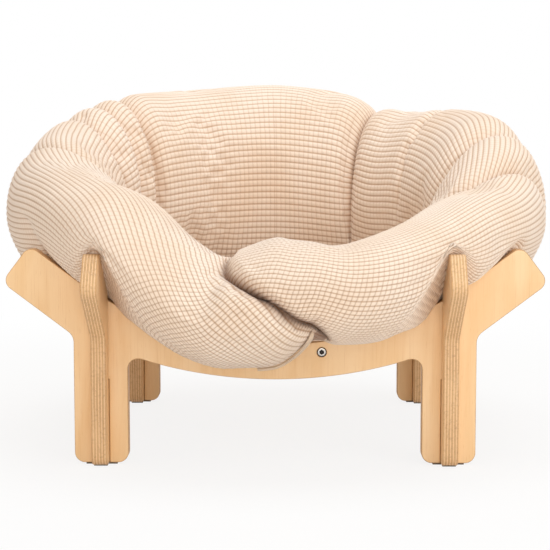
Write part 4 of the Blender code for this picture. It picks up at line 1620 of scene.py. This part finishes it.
@dataclass
class EndBinding:
    """Tape along the bolster's lower end, beside the deep fold at the front."""

    bolster: Bolster
    # Angles round the ring and round the tube, in degrees
    path: tuple[tuple[float, float], ...] = ((-0.8, -44), (-2.3, -52.5), (-4, -61.5), (-5.8, -71),
                                             (-7.5, -77), (-10, -80), (-13, -81), (-16, -80))
    half_width: float = 0.0032
    half_height: float = 0.0015
    steps: int = 120
    sides: int = 24

    def build(self, finish: TapeFinish) -> Object:
        """Make the tape: a flat rounded section carried along a line of the bolster's surface.

        The section is half_width times the cosine along the surface, and half_height times the
        sine off it.

        Args:
            finish: Look of the tape.

        Returns:
            The finished piece.
        """
        run = np.linspace(0.0, len(self.path) - 1.0, self.steps)
        column, around = (np.radians(np.interp(run, np.arange(len(self.path)), values))
                          for values in zip(*self.path))
        line = self.bolster.surface(column, around)
        ahead = unit(np.gradient(line, axis=0))
        across = self.bolster.surface(column + 1e-3, around) - line
        across = unit(across - ahead * np.sum(across * ahead, 1, keepdims=True))
        normal = unit(np.cross(across, -ahead))
        turn = full_turn(self.sides)[None, :, None]
        fade = np.sqrt(np.clip(1 - np.linspace(-1, 1, self.steps) ** 16, 0.0, 1.0))[:, None, None]
        offset = (self.half_width * np.cos(turn) * across[:, None]
                  + self.half_height * np.sin(turn) * normal[:, None])
        lift = normal[:, None] * (self.half_height + self.bolster.rib_height)
        points = line[:, None] + lift + offset * np.maximum(fade, 0.02)
        skin = Skin()
        index = skin.add_grid(points, grid_uv(self.steps, self.sides), (False, True))
        for ring in (index[0], index[-1]):
            skin.cap(ring)
        piece = skin.build("end_binding_tape", finish.material(), merge=1e-7)
        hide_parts("end_binding")
        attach(piece, Body.CUSHION.value)
        return piece


# Studio


@dataclass(frozen=True)
class Lamp:
    """Square softbox that faces the bed."""

    name: str
    place: tuple[float, float, float]
    size: float
    watts: float
    colour: Colour

    def build(self) -> None:
        """Add the lamp."""
        data = bpy.data.lights.new(self.name, "AREA")
        data.size, data.energy, data.color = self.size, self.watts, self.colour
        made = bpy.data.objects.new(self.name, data)
        made.location = self.place
        aim = Vector((0.0, 0.0, 0.18)) - made.location
        made.rotation_euler = aim.to_track_quat("-Z", "Y").to_euler()
        bpy.context.scene.collection.objects.link(made)


@dataclass
class Studio:
    """Pale floor, soft lamps, white surroundings and the camera."""

    camera_place: tuple[float, float, float] = (0.0171, -1.583, 0.318)
    camera_pitch: float = math.radians(-5.44)
    camera_turn: float = math.radians(0.69)
    focal_pixels: float = 1481.0
    frame_pixels: float = 550.0
    sensor: float = 36.0
    world_light: float = 0.57
    fill_colour: Colour = (1.0, 0.86, 0.72)
    floor_colour: Colour = (0.86, 0.86, 0.86)
    floor_shade: float = 0.15
    floor_gap: float = 0.0002
    floor_size: float = 12.0
    shade_reach: tuple[float, float] = (0.35, 1.10)
    lamps: tuple[Lamp, ...] = (
        Lamp("softbox_right", (1.5, -1.7, 1.5), 1.4, 15.5, (0.85, 0.94, 1.0)),
        Lamp("softbox_front", (0.2, -2.7, 0.75), 1.5, 7.5, (0.95, 0.98, 1.0)),
        Lamp("softbox_top", (0.1, 0.0, 2.3), 1.6, 25.0, (0.85, 0.93, 1.0)),
        Lamp("softbox_low", (0.1, -2.4, 0.12), 0.7, 9.0, (1.0, 0.84, 0.66)),
    )

    def camera(self) -> None:
        """Put the camera where it fits the corners of the panels in the picture."""
        data = bpy.data.cameras.new("camera")
        data.sensor_fit = "HORIZONTAL"
        data.sensor_width = self.sensor
        data.lens = self.focal_pixels / self.frame_pixels * self.sensor
        data.clip_end = 60.0
        made = bpy.data.objects.new("camera", data)
        made.location = self.camera_place
        made.rotation_euler = (math.pi / 2 + self.camera_pitch, 0.0, self.camera_turn)
        bpy.context.scene.collection.objects.link(made)
        bpy.context.scene.camera = made

    def seen_directly(self, graph: Graph) -> Socket:
        """1 for camera, mirror and glass rays, 0 for light that falls on the bed."""
        path = graph.node("ShaderNodeLightPath")
        seen = path.outputs["Is Camera Ray"]
        for kind in ("Glossy", "Transmission"):
            seen = graph.maths("MAXIMUM", seen, path.outputs[f"Is {kind} Ray"])
        return seen

    def world(self) -> None:
        """White all round, which lights the bed less than it shows."""
        bpy.context.scene.world = bpy.data.worlds.new("studio")
        graph = Graph(bpy.context.scene.world)
        seen = self.seen_directly(graph)
        graph.fill(graph.tree.nodes["Background"],
                   Color=graph.mix(seen, self.fill_colour, WHITE),
                   Strength=graph.remap(seen, 0.0, 1.0, self.world_light, 1.0))

    def floor(self) -> None:
        """White floor that keeps a part of the bed's shadow when it is looked at."""
        work = bmesh.new()
        bmesh.ops.create_grid(work, x_segments=1, y_segments=1, size=self.floor_size)
        mesh = bpy.data.meshes.new("floor")
        work.to_mesh(mesh)
        work.free()
        graph = material_graph("floor_white")
        away = graph.node("ShaderNodeVectorMath", operation="LENGTH")
        graph.link(graph.coordinates("Object"), away.inputs[0])
        glow = graph.remap(away.outputs["Value"], *self.shade_reach, 1.0 - self.floor_shade, 1.0)
        both = graph.node("ShaderNodeMixShader")
        plain = graph.fill(graph.tree.nodes["Principled BSDF"], Base_Color=self.floor_colour,
                           Roughness=0.8)
        bright = graph.fill(graph.node("ShaderNodeEmission"), Color=WHITE)
        share = graph.times(self.seen_directly(graph), glow)
        for place, value in enumerate((share, plain, bright)):
            graph.link(value, both.inputs[place])
        graph.link(both.outputs[0], graph.tree.nodes["Material Output"].inputs["Surface"])
        mesh.materials.append(graph.owner)
        floor = bpy.data.objects.new("floor", mesh)
        floor.location.z = -self.floor_gap
        bpy.context.scene.collection.objects.link(floor)

    def build(self) -> None:
        """Set up the camera, the light and the floor."""
        bpy.context.scene.view_settings.view_transform = "Standard"
        self.camera()
        self.world()
        for lamp in self.lamps:
            lamp.build()
        self.floor()


def main() -> None:
    """Dress the frame."""
    logging.basicConfig(level=logging.INFO, format="%(name)s: %(message)s")
    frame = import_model()
    Studio().build()
    PlywoodFrame().build(PlywoodFinish())
    Hardware().build(frame["nodes"])
    bolster = Bolster()
    bolster.build(CorduroyFinish("cream_corduroy_finish", bolster.ribs, bolster.stitches))
    SeatPad(bolster).build(CorduroyFinish("seat_corduroy_finish", 62, 62, rib_depth=0.0009))
    EndBinding(bolster).build(TapeFinish())


if __name__ == "__main__":
    main()
